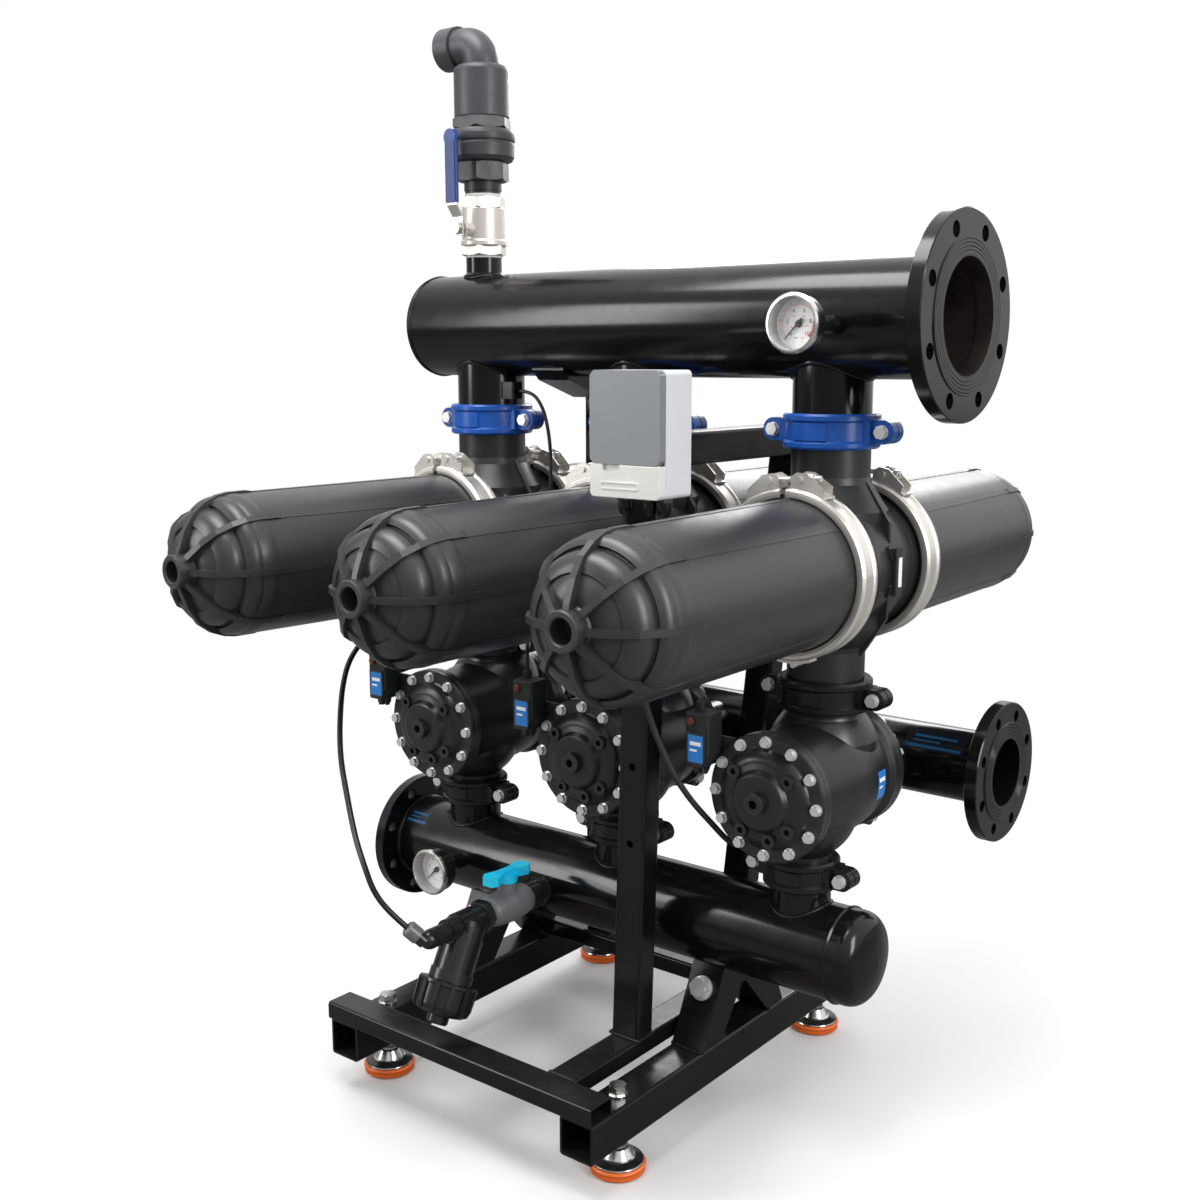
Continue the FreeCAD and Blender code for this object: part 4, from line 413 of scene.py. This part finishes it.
def button_mat():
    k = Mat("button_red")
    n1 = k.noise(300.0, 4)
    k.set(Base_Color=k.mix(k.rng(n1, 0.35, 0.7, 0, 1), (0.085, 0.014, 0.008), (0.125, 0.022, 0.012)), Roughness=k.rng(n1, 0.3, 0.7, 0.30, 0.42))
    k.bump(k.noise(1200.0, 2), 0.1, 0.0001)
    return k.m


def glass_mat():
    k = Mat("gauge_glass")
    n1 = k.noise(40.0, 3)
    k.set(Base_Color=(0.97, 0.98, 0.98), Roughness=k.rng(n1, 0.3, 0.7, 0.015, 0.04), IOR=1.45)
    k.b.inputs["Transmission Weight"].default_value = 1.0
    k.b.inputs["Alpha"].default_value = 0.07
    return k.m


def ink(name, col, rough=0.45):
    k = Mat(name)
    n1 = k.noise(500.0, 3)
    k.set(Base_Color=k.mix(k.rng(n1, 0.3, 0.7, 0, 1), col, tuple(min(1.0, v * 1.18 + 0.004) for v in col)), Roughness=k.rng(n1, 0.3, 0.7, rough, rough + 0.1))
    return k.m


M_FOOT = foot_steel()
M_AIR = pvc("grey_pvc_air_valve", True)
M_PVC = pvc("grey_pvc_sampling")
M_STRN = strainer_mat()
M_BUTTON = button_mat()
M_GLASS = glass_mat()
M_NEEDLE = ink("needle_black", (0.006, 0.006, 0.006), 0.35)
M_DIALW = ink("dial_white", (0.80, 0.80, 0.79), 0.40)
M_DIALK = ink("dial_black", (0.012, 0.012, 0.012))
M_DIALG = ink("dial_grey", (0.030, 0.030, 0.032))
M_DIALR = ink("dial_red", (0.52, 0.016, 0.050))
M_DIALP = ink("dial_rose", (0.66, 0.14, 0.17))
M_LBLUE = ink("label_blue", (0.014, 0.170, 0.50), 0.30)
M_LDARK = ink("label_navy", (0.005, 0.070, 0.170), 0.30)
M_LFILM = ink("label_film", (0.0045, 0.0085, 0.0130), 0.16)
M_LWHITE = ink("label_white", (0.74, 0.76, 0.78), 0.34)
M_PTFE = moulded("thread_tape", (0.52, 0.52, 0.51), (0.58, 0.58, 0.57), (0.5, 0.65), 900.0, 0.3, None, 0.4, 0.05)
M_WELD = paint("weld_black", (0.0038, 0.0038, 0.0041), (0.0070, 0.0070, 0.0076), (0.14, 0.22), 0.04, 0.15, 0.36)

LOOK = {
    "skid_rails": M_FRAME, "skid_cross_tubes": M_FRAME, "mid_rail": M_FRAME, "front_post": M_FRAME, "rear_post_right": M_FRAME,
    "rear_post_left": M_FRAME, "top_crossbar": M_FRAME, "manifold_saddles": M_FRAME, "saddle_bolts": M_ZINC, "foot_pads": M_ORANGE,
    "foot_studs": M_FOOT, "upper_manifold": M_UPPER, "lower_manifold": M_LOWER, "drain_manifold": M_DRAIN, "blue_couplings": M_BLUE,
    "black_couplings": M_CAST, "coupling_gaskets": M_RUBBER, "coupling_bolts": M_ZINC, "filter_body_left": M_BODY,
    "filter_body_middle": M_BODY, "filter_body_right": M_BODY, "front_barrel_left": M_BARREL, "front_barrel_middle": M_BARREL,
    "front_barrel_right": M_BARREL, "rear_barrels": M_BARREL, "band_clamps": M_CLAMP, "clamp_latches": M_LATCH, "disc_stacks": M_DISC,
    "stack_spines": M_SPINE, "valve_bodies": M_VALVE, "valve_bonnets": M_VALVE, "bonnet_bolts": M_ZINC, "valve_piston_left": M_SPINE,
    "valve_piston_middle": M_SPINE, "valve_piston_right": M_SPINE, "solenoid_boxes": M_BOX, "override_button_left": M_BUTTON,
    "override_button_middle": M_BUTTON, "override_button_right": M_BUTTON, "controller_case": M_CASE, "controller_cover": M_COVER,
    "controller_door": M_DOOR, "cable_glands": M_STRAIN, "gauge_cases": gauge_mat(), "gauge_windows": M_GLASS,
    "upper_gauge_needle": M_NEEDLE, "lower_gauge_needle": M_NEEDLE, "ball_valve_body": M_NICKEL, "ball_valve_lever": M_LEVER,
    "lever_grip": M_GRIP, "air_valve_body": M_AIR, "air_valve_elbow": M_AIR, "sampling_valve_body": M_PVC,
    "sampling_valve_handle": M_CYAN, "strainer_body": M_STRN, "strainer_cap": M_STRAIN,
    "gauge_dials": M_DIALW, "control_hose": M_HOSE, "riser_hose": M_HOSE, "valve_cable": M_LOOM,
}
for name, o in NODES.items():
    o.data.materials.clear()
    o.data.materials.append(LOOK[name])
    for p in o.data.polygons:
        p.material_index = 0
        p.use_smooth = True
    o.data.set_sharp_from_angle(angle=math.radians(28.0))


# ---------------------------------------------------------------- built pieces
def finish_mesh(name, bm, mats, body, smooth=40.0):
    me = bpy.data.meshes.new(name)
    bm.normal_update()
    bm.to_mesh(me)
    bm.free()
    for q in mats:
        me.materials.append(q)
    for p in me.polygons:
        p.use_smooth = True
    me.set_sharp_from_angle(angle=math.radians(smooth))
    o = bpy.data.objects.new(name, me)
    root.objects.link(o)
    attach(o, body)
    return o


# printed dials: plain numbers, two scales and a red zone
def dial(bm, cx, cz, yf):
    def P(r, a, lift):
        t = math.radians(a)
        return Vector((cx + r * math.cos(t), yf - lift, cz + r * math.sin(t)))

    def sector(r1, r2, a1, a2, lift, mi, n):
        prev = None
        for i in range(n + 1):
            a = a1 + (a2 - a1) * i / n
            cur = (bm.verts.new(P(r1, a, lift)), bm.verts.new(P(r2, a, lift)))
            if prev:
                fc = bm.faces.new((prev[0], prev[1], cur[1], cur[0]))
                fc.material_index = mi
            prev = cur
    sector(0.0017, 0.0338, 0, 360, 0.0, 0, 72)
    # outer scale, ten divisions of 27 degrees from lower left, clockwise
    for i in range(51):
        a = 225 - 5.4 * i
        big = i % 5 == 0
        sector(0.0272 if big else 0.0282, 0.0296, a - (1.1 if big else 0.5), a + (1.1 if big else 0.5), 0.00006, 2, 1)
    sector(0.0250, 0.0257, -45, 225, 0.00006, 4, 60)
    for i in range(29):
        a = 225 - 9.64 * i
        big = i % 4 == 0
        sector(0.0226 if big else 0.0234, 0.0250, a - 0.8, a + 0.8, 0.00006, 4, 1)
    sector(0.0208, 0.0254, -48, 8, 0.00012, 3, 18)
    sector(0.0, 0.0052, 0, 360, 0.00012, 1, 24)


def number(bm, text, pos, size, mi):
    cu = bpy.data.curves.new("num", "FONT")
    cu.body = text
    cu.size = size
    cu.align_x = "CENTER"
    cu.align_y = "CENTER"
    o = bpy.data.objects.new("num", cu)
    root.objects.link(o)
    bpy.context.view_layer.update()
    dg = bpy.context.evaluated_depsgraph_get()
    me = bpy.data.meshes.new_from_object(o.evaluated_get(dg))
    t = Matrix.Translation(pos) @ Matrix.Rotation(math.radians(90), 4, "X")
    me.transform(t)
    for p in me.polygons:
        p.material_index = mi
    bm.from_mesh(me)
    bpy.data.objects.remove(o)
    bpy.data.curves.remove(cu)
    bpy.data.meshes.remove(me)


bm = bmesh.new()
for gx, gz in ((383.0, 1230.0), (-304.0, 326.0)):
    c = E(gx, -206 + 34.5 - 13.4, gz)
    dial(bm, c.x, c.z, c.y - 0.00003)
    for i in range(6):
        t = math.radians(225 - 54 * i)
        number(bm, str(2 * i), Vector((c.x + 0.0175 * math.cos(t), c.y - 0.0003, c.z + 0.0182 * math.sin(t))), 0.0074, 1)
    for i in range(4):
        t = math.radians(198 - 72 * i)
        number(bm, str(40 * (i + 1)), Vector((c.x + 0.0116 * math.cos(t), c.y - 0.0003, c.z + 0.0116 * math.sin(t))), 0.0034, 4)
    number(bm, "bar", Vector((c.x - 0.004, c.y - 0.0003, c.z - 0.0180)), 0.0042, 1)
    number(bm, "psi", Vector((c.x + 0.006, c.y - 0.0003, c.z - 0.0180)), 0.0038, 4)
dials = finish_mesh("dial_prints", bm, [M_DIALW, M_DIALK, M_DIALG, M_DIALR, M_DIALP], "filter_set")
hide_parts("gauge_dials")


# plain labels: a blue field with a pale bar, no words
TURN = {-332.0: -4.0, 0.0: 0.0, 332.0: 1.5}


def patch(bm, fn, u0, u1, v0, v1, nu, nv, mi):
    g = [[bm.verts.new(fn(u0 + (u1 - u0) * i / nu, v0 + (v1 - v0) * j / nv)) for j in range(nv + 1)] for i in range(nu + 1)]
    for i in range(nu):
        for j in range(nv):
            q = bm.faces.new((g[i][j], g[i + 1][j], g[i + 1][j + 1], g[i][j + 1]))
            q.material_index = mi


def label(bm, fn, w, h, mats, nu=10, nv=10):
    """fn(u, v, lift) in metres about the label's middle; field, rim and two bars."""
    patch(bm, lambda u, v: fn(u, v, 0.00018), -w / 2, w / 2, -h / 2, h / 2, nu, nv, mats[0])
    patch(bm, lambda u, v: fn(u, v, 0.00026), -w * 0.36, w * 0.36, h * 0.12, h * 0.26, nu, 2, mats[1])
    patch(bm, lambda u, v: fn(u, v, 0.00026), -w * 0.36, w * 0.10, -h * 0.10, -h * 0.02, nu, 2, mats[1])
    patch(bm, lambda u, v: fn(u, v, 0.00026), -w * 0.46, w * 0.46, -h * 0.40, -h * 0.26, nu, 2, mats[2])


def on_x_cyl(cx, cy, cz, r, a0):
    def f_(u, v, lift):
        t = a0 + v / r
        return Vector((cx + u, cy - (r + lift) * math.cos(t), cz + (r + lift) * math.sin(t)))
    return f_


bm = bmesh.new()
label(bm, on_x_cyl(-0.454, -0.057, 0.312, 0.07065, math.radians(48)), 0.048, 0.030, (4, 0, 0))
label(bm, on_x_cyl(0.388, 0.246, 0.538, 0.05715, math.radians(46)), 0.100, 0.036, (4, 0, 0))
for sx in (-332.0, 0.0, 332.0):
    c = E(sx - 97, -176 - 21.0, 571 + 76 - 12)
    label(bm, lambda u, v, lift, c=c: Vector((c.x + u, c.y - lift, c.z + v)), 0.026, 0.040, (3, 1, 2))
for sx in (-332.0, 0.0, 332.0):
    # blue patch on the side of each valve, between the flanges
    c = E(sx, 0, 571)

    def side(u, v, lift, c=c):
        t = math.radians(-3) + v / 0.0925
        yy = 0.014 + u
        r = 0.0930 - max(0.0, abs(yy + 0.020) - 0.008) * 0.075 + lift + 0.0004
        return Vector((c.x + r * math.cos(t), yy, c.z + r * math.sin(t)))
    label(bm, side, 0.026, 0.044, (3, 1, 2), 10, 16)
    # pale strip on the side block of each filter body, turned with it
    c = E(sx, 0, 886)
    t_ = math.radians(TURN[sx])
    patch(bm, lambda u, v, c=c, t_=t_: Vector((c.x + 0.1142 * math.cos(t_) - u * math.sin(t_), 0.1142 * math.sin(t_) + u * math.cos(t_), c.z + v)), -0.0055, 0.0055, -0.021, 0.021, 2, 4, 1)
labels = finish_mesh("plain_labels", bm, [M_LDARK, M_LWHITE, M_LBLUE, M_LBLUE, M_LFILM], "filter_set")

# thread tape above and below the ball valve
bm = bmesh.new()


def ring_strip(bm, cx, cy, prof, n=72, wob=0.0, mi=0):
    rows = []
    for r, z in prof:
        rows.append([bm.verts.new((cx + (r + wob * math.sin(5 * a + 3 * r * 1e4) * 0.5 + wob * random.uniform(-0.5, 0.5)) * math.cos(a),
                                   cy + (r + wob * math.sin(5 * a + 3 * r * 1e4) * 0.5) * math.sin(a), z))
                     for a in [2 * math.pi * i / n for i in range(n)]])
    for p, q in zip(rows, rows[1:]):
        for i in range(n):
            fc = bm.faces.new((p[i], p[(i + 1) % n], q[(i + 1) % n], q[i]))
            fc.material_index = mi


cx = -0.3725
ring_strip(bm, cx, 0.0, [(0.0300, 1.4428), (0.0306, 1.4431), (0.0309, 1.4442), (0.0306, 1.4451), (0.0308, 1.4461), (0.0305, 1.4470), (0.0299, 1.4474)], 96, 0.0003)
ring_strip(bm, cx, 0.0, [(0.0301, 1.3424), (0.0309, 1.3428), (0.0311, 1.3442), (0.0309, 1.3456), (0.0301, 1.3463)], 96, 0.0003)
tape = finish_mesh("thread_tape", bm, [M_PTFE], "filter_set", 60)


# weld beads: overlapping ripples laid along each joint
def weld(bm, path, r, closed=False, flat=0.75):
    """path: points of the root; a lumpy round bead follows it."""
    pts = []
    n = len(path)
    for i in range(n if closed else n - 1):
        a, b = path[i], path[(i + 1) % n]
        k = max(1, int((b - a).length / 0.0011))
        for j in range(k):
            pts.append(a.lerp(b, j / k))
    if not closed:
        pts.append(path[-1])
    N = len(pts)
    rows = []
    ph = random.uniform(0, 6)
    for i, p in enumerate(pts):
        t = (pts[(i + 1) % N] - pts[i - 1]) if closed else (pts[min(i + 1, N - 1)] - pts[max(i - 1, 0)])
        t.normalize()
        up = Vector((0, 0, 1)) if abs(t.z) < 0.9 else Vector((1, 0, 0))
        s = t.cross(up).normalized()
        w = s.cross(t).normalized()
        ripple = abs(math.sin(i * 0.0011 / 0.0034 * math.pi + ph))
        rr = r * (0.80 + 0.22 * ripple + random.uniform(-0.05, 0.05)) * (1 + 0.12 * math.sin(i * 0.045 + ph))
        if not closed and (i == 0 or i == N - 1):
            rr *= 0.45
        rows.append([bm.verts.new(p + s * rr * math.cos(q) + w * rr * flat * math.sin(q)) for q in [2 * math.pi * h / 10 for h in range(10)]])
    for i in range(N if closed else N - 1):
        a, b = rows[i], rows[(i + 1) % N]
        for h in range(10):
            bm.faces.new((a[h], a[(h + 1) % 10], b[(h + 1) % 10], b[h]))
    if not closed:
        bm.faces.new(list(reversed(rows[0])))
        bm.faces.new(rows[-1])


bm = bmesh.new()


def rect_loop(x0, x1, y0, y1, z):
    return [E(x0, y0, z), E(x1, y0, z), E(x1, y1, z), E(x0, y1, z)]


weld(bm, rect_loop(87, 139, -205, -163, 159.2), 0.0034, True)
weld(bm, rect_loop(87, 139, 71, 113, 159.2), 0.0034, True)
weld(bm, rect_loop(-192, -140, 79, 121, 159.2), 0.0034, True)
for x0 in (146.0, -338.0):
    # saddle feet on the rails
    weld(bm, [E(x0 + 2, -128, 128.8), E(x0 + 58, -128, 128.8)], 0.0036)
    for xx in (x0 + 0.6, x0 + 59.4):
        weld(bm, [E(xx, -126, 129.0), E(xx, -74, 129.0)], 0.0026)
        weld(bm, [E(xx, 66, 129.0), E(xx, 112, 129.0)], 0.0026)
    # cross tubes on the rails
    weld(bm, [E(x0 + 3, -352.8, 128.8), E(x0 + 57, -352.8, 128.8)], 0.0030)
    weld(bm, [E(x0 + 3, 298.8, 128.8), E(x0 + 57, 298.8, 128.8)], 0.0030)
for y_, z_ in ((-353.0, 157.0), (299.0, 157.0)):
    weld(bm, [E(89, y_, z_), E(137, y_, z_)], 0.0030)
    weld(bm, [E(88.2, y_, z_), E(88.2, y_, 130)], 0.0024)
    weld(bm, [E(137.8, y_, z_), E(137.8, y_, 130)], 0.0024)
for q in ((88.0, 76.0), (88.0, 124.0)):
    weld(bm, [E(q[0], q[1], 156), E(q[0], q[1], 131)], 0.0022)
weld(bm, [E(88.0, 78, 157.6), E(88.0, 122, 157.6)], 0.0022)


def stub_loop(x, yc, zc, Rm, rs, sign, n=90):
    """Where a stub of radius rs stands on a pipe of radius Rm along X."""
    L = []
    for i in range(n):
        a = 2 * math.pi * i / n
        dx, dy = (rs + 1.2) * math.cos(a), (rs + 1.2) * math.sin(a)
        L.append(E(x + dx, yc + dy, zc + sign * math.sqrt(max(0.0, (Rm + 0.6) ** 2 - dy * dy))))
    return L


for sx in (-332.0, 0.0, 332.0):
    weld(bm, stub_loop(sx, 0.0, 1240.0, 84.15, 57.15, -1), 0.0032, True)
    weld(bm, stub_loop(sx, -57.0, 322.0, 70.65, 44.45, 1), 0.0032, True)
weld(bm, stub_loop(-345.0, 0.0, 1240.0, 84.15, 30.15, 1), 0.0038, True)


def pipe_loop(x, y, z, r, n=120):
    return [E(x, y + r * math.cos(2 * math.pi * i / n), z + r * math.sin(2 * math.pi * i / n)) for i in range(n)]


weld(bm, pipe_loop(510.6, 0, 1240, 85.4), 0.0036, True)
weld(bm, pipe_loop(495.6, 246, 548, 58.2), 0.0032, True)
weld(bm, pipe_loop(-457.6, -57, 322, 71.8), 0.0032, True)
weld(bm, pipe_loop(410.0, -57, 322, 70.9), 0.0022, True)
weld(bm, pipe_loop(-443.0, 0, 1240, 84.4), 0.0020, True)
welds = finish_mesh("weld_beads", bm, [M_WELD], "filter_set", 60)

# ---------------------------------------------------------------- floor, light, background
bm = bmesh.new()
n = 48
ctr = bm.verts.new((0, 0, -0.0006))
rim = [bm.verts.new((26 * math.cos(2 * math.pi * i / n), 26 * math.sin(2 * math.pi * i / n), -0.0006)) for i in range(n)]
for i in range(n):
    bm.faces.new((ctr, rim[i], rim[(i + 1) % n]))
me = bpy.data.meshes.new("floor")
bm.to_mesh(me)
bm.free()
floor = bpy.data.objects.new("floor", me)
root.objects.link(floor)
k = Mat("floor_pale")
k.set(Base_Color=k.mix(k.rng(k.noise(2.0, 3), 0.3, 0.7, 0, 1), (0.72, 0.72, 0.72), (0.74, 0.74, 0.74)), Roughness=0.6, Specular_IOR_Level=0.1)
out_ = [q for q in k.nt.nodes if q.type == "OUTPUT_MATERIAL"][0]
# a pale glow that takes over with distance, so that no horizon shows
x, y, z = k.xyz()
dx, dy = k.math("SUBTRACT", x, 0.0), k.math("SUBTRACT", y, 0.1)
far = k.rng(k.math("SQRT", k.math("ADD", k.math("MULTIPLY", dx, dx), k.math("MULTIPLY", dy, dy))), 0.75, 1.7, 0.0, 1.0)
em = k.new("ShaderNodeEmission")
em.inputs["Color"].default_value = (1, 1, 1, 1)
em.inputs["Strength"].default_value = 1.0
m1 = k.new("ShaderNodeMixShader")
k.nt.links.new(far, m1.inputs[0])
k.nt.links.new(k.b.outputs[0], m1.inputs[1])
k.nt.links.new(em.outputs[0], m1.inputs[2])
# to every ray but the camera's the floor is dark grey: painted shade in the reflections of the paint and in the light
# bounced onto the parts above it
lp = k.new("ShaderNodeLightPath")
painted_shade_floor = k.new("ShaderNodeBsdfDiffuse")
painted_shade_floor.inputs["Color"].default_value = (0.20, 0.20, 0.20, 1)
mx = k.new("ShaderNodeMixShader")
k.nt.links.new(k.math("SUBTRACT", 1.0, lp.outputs["Is Camera Ray"]), mx.inputs[0])
k.nt.links.new(m1.outputs[0], mx.inputs[1])
k.nt.links.new(painted_shade_floor.outputs[0], mx.inputs[2])
k.nt.links.new(mx.outputs[0], out_.inputs[0])
me.materials.append(k.m)


def area(name, loc, target, sx, sy, power, col=(1, 1, 1)):
    l = bpy.data.lights.new(name, "AREA")
    l.shape = "RECTANGLE"
    l.size = sx
    l.size_y = sy
    l.energy = power
    l.color = col
    o = bpy.data.objects.new(name, l)
    root.objects.link(o)
    d = Vector(target) - Vector(loc)
    o.matrix_world = Matrix.Translation(Vector(loc)) @ d.to_track_quat("-Z", "Y").to_matrix().to_4x4()
    return o


area("top_softbox", (-0.3, -0.9, 3.6), (0, 0, 0.8), 2.2, 1.2, 92)
area("front_left_softbox", (-2.4, -2.9, 2.1), (0, 0, 0.9), 0.8, 2.2, 55)
area("right_softbox", (3.4, -0.6, 2.0), (0.2, 0, 0.9), 0.9, 2.2, 72)
area("back_softbox", (-1.2, 3.2, 2.6), (0, 0, 0.9), 2.4, 1.2, 58)

w = bpy.data.worlds.new("studio")
scene.world = w
w.use_nodes = True
nt = w.node_tree
for q in list(nt.nodes):
    nt.nodes.remove(q)
o_ = nt.nodes.new("ShaderNodeOutputWorld")
lp = nt.nodes.new("ShaderNodeLightPath")


def sky(strength):
    b_ = nt.nodes.new("ShaderNodeBackground")
    b_.inputs[0].default_value = (1, 1, 1, 1)
    b_.inputs[1].default_value = strength
    return b_.outputs[0]


m1 = nt.nodes.new("ShaderNodeMixShader")
nt.links.new(lp.outputs["Is Glossy Ray"], m1.inputs[0])
nt.links.new(sky(0.94), m1.inputs[1])
g_ = nt.nodes.new("ShaderNodeBackground")
g_.inputs[0].default_value = (1, 1, 1, 1)
tc_ = nt.nodes.new("ShaderNodeTexCoord")
sx_ = nt.nodes.new("ShaderNodeSeparateXYZ")
nt.links.new(tc_.outputs["Generated"], sx_.inputs[0])
mr_ = nt.nodes.new("ShaderNodeMapRange")
mr_.inputs["From Min"].default_value = -0.10
mr_.inputs["From Max"].default_value = 0.85
mr_.inputs["To Min"].default_value = 0.18
mr_.inputs["To Max"].default_value = 1.00
nt.links.new(sx_.outputs[2], mr_.inputs["Value"])
# the pale backdrop behind and to the right shows in the paint
glow = mr_.outputs["Result"]
for i_, a_, b_, top in ((1, 0.05, 0.85, 0.60), (0, 0.25, 0.95, 0.25)):
    mr2 = nt.nodes.new("ShaderNodeMapRange")
    mr2.inputs["From Min"].default_value = a_
    mr2.inputs["From Max"].default_value = b_
    mr2.inputs["To Min"].default_value = 0.0
    mr2.inputs["To Max"].default_value = top
    nt.links.new(sx_.outputs[i_], mr2.inputs["Value"])
    ad = nt.nodes.new("ShaderNodeMath")
    ad.operation = "ADD"
    nt.links.new(glow, ad.inputs[0])
    nt.links.new(mr2.outputs["Result"], ad.inputs[1])
    glow = ad.outputs[0]
nt.links.new(glow, g_.inputs[1])
nt.links.new(g_.outputs[0], m1.inputs[2])
mx = nt.nodes.new("ShaderNodeMixShader")
nt.links.new(lp.outputs["Is Camera Ray"], mx.inputs[0])
nt.links.new(m1.outputs[0], mx.inputs[1])
nt.links.new(sky(1.0), mx.inputs[2])
nt.links.new(mx.outputs[0], o_.inputs[0])

scene.view_settings.view_transform = "Standard"
scene.view_settings.look = "None"
scene.view_settings.exposure = 0.0
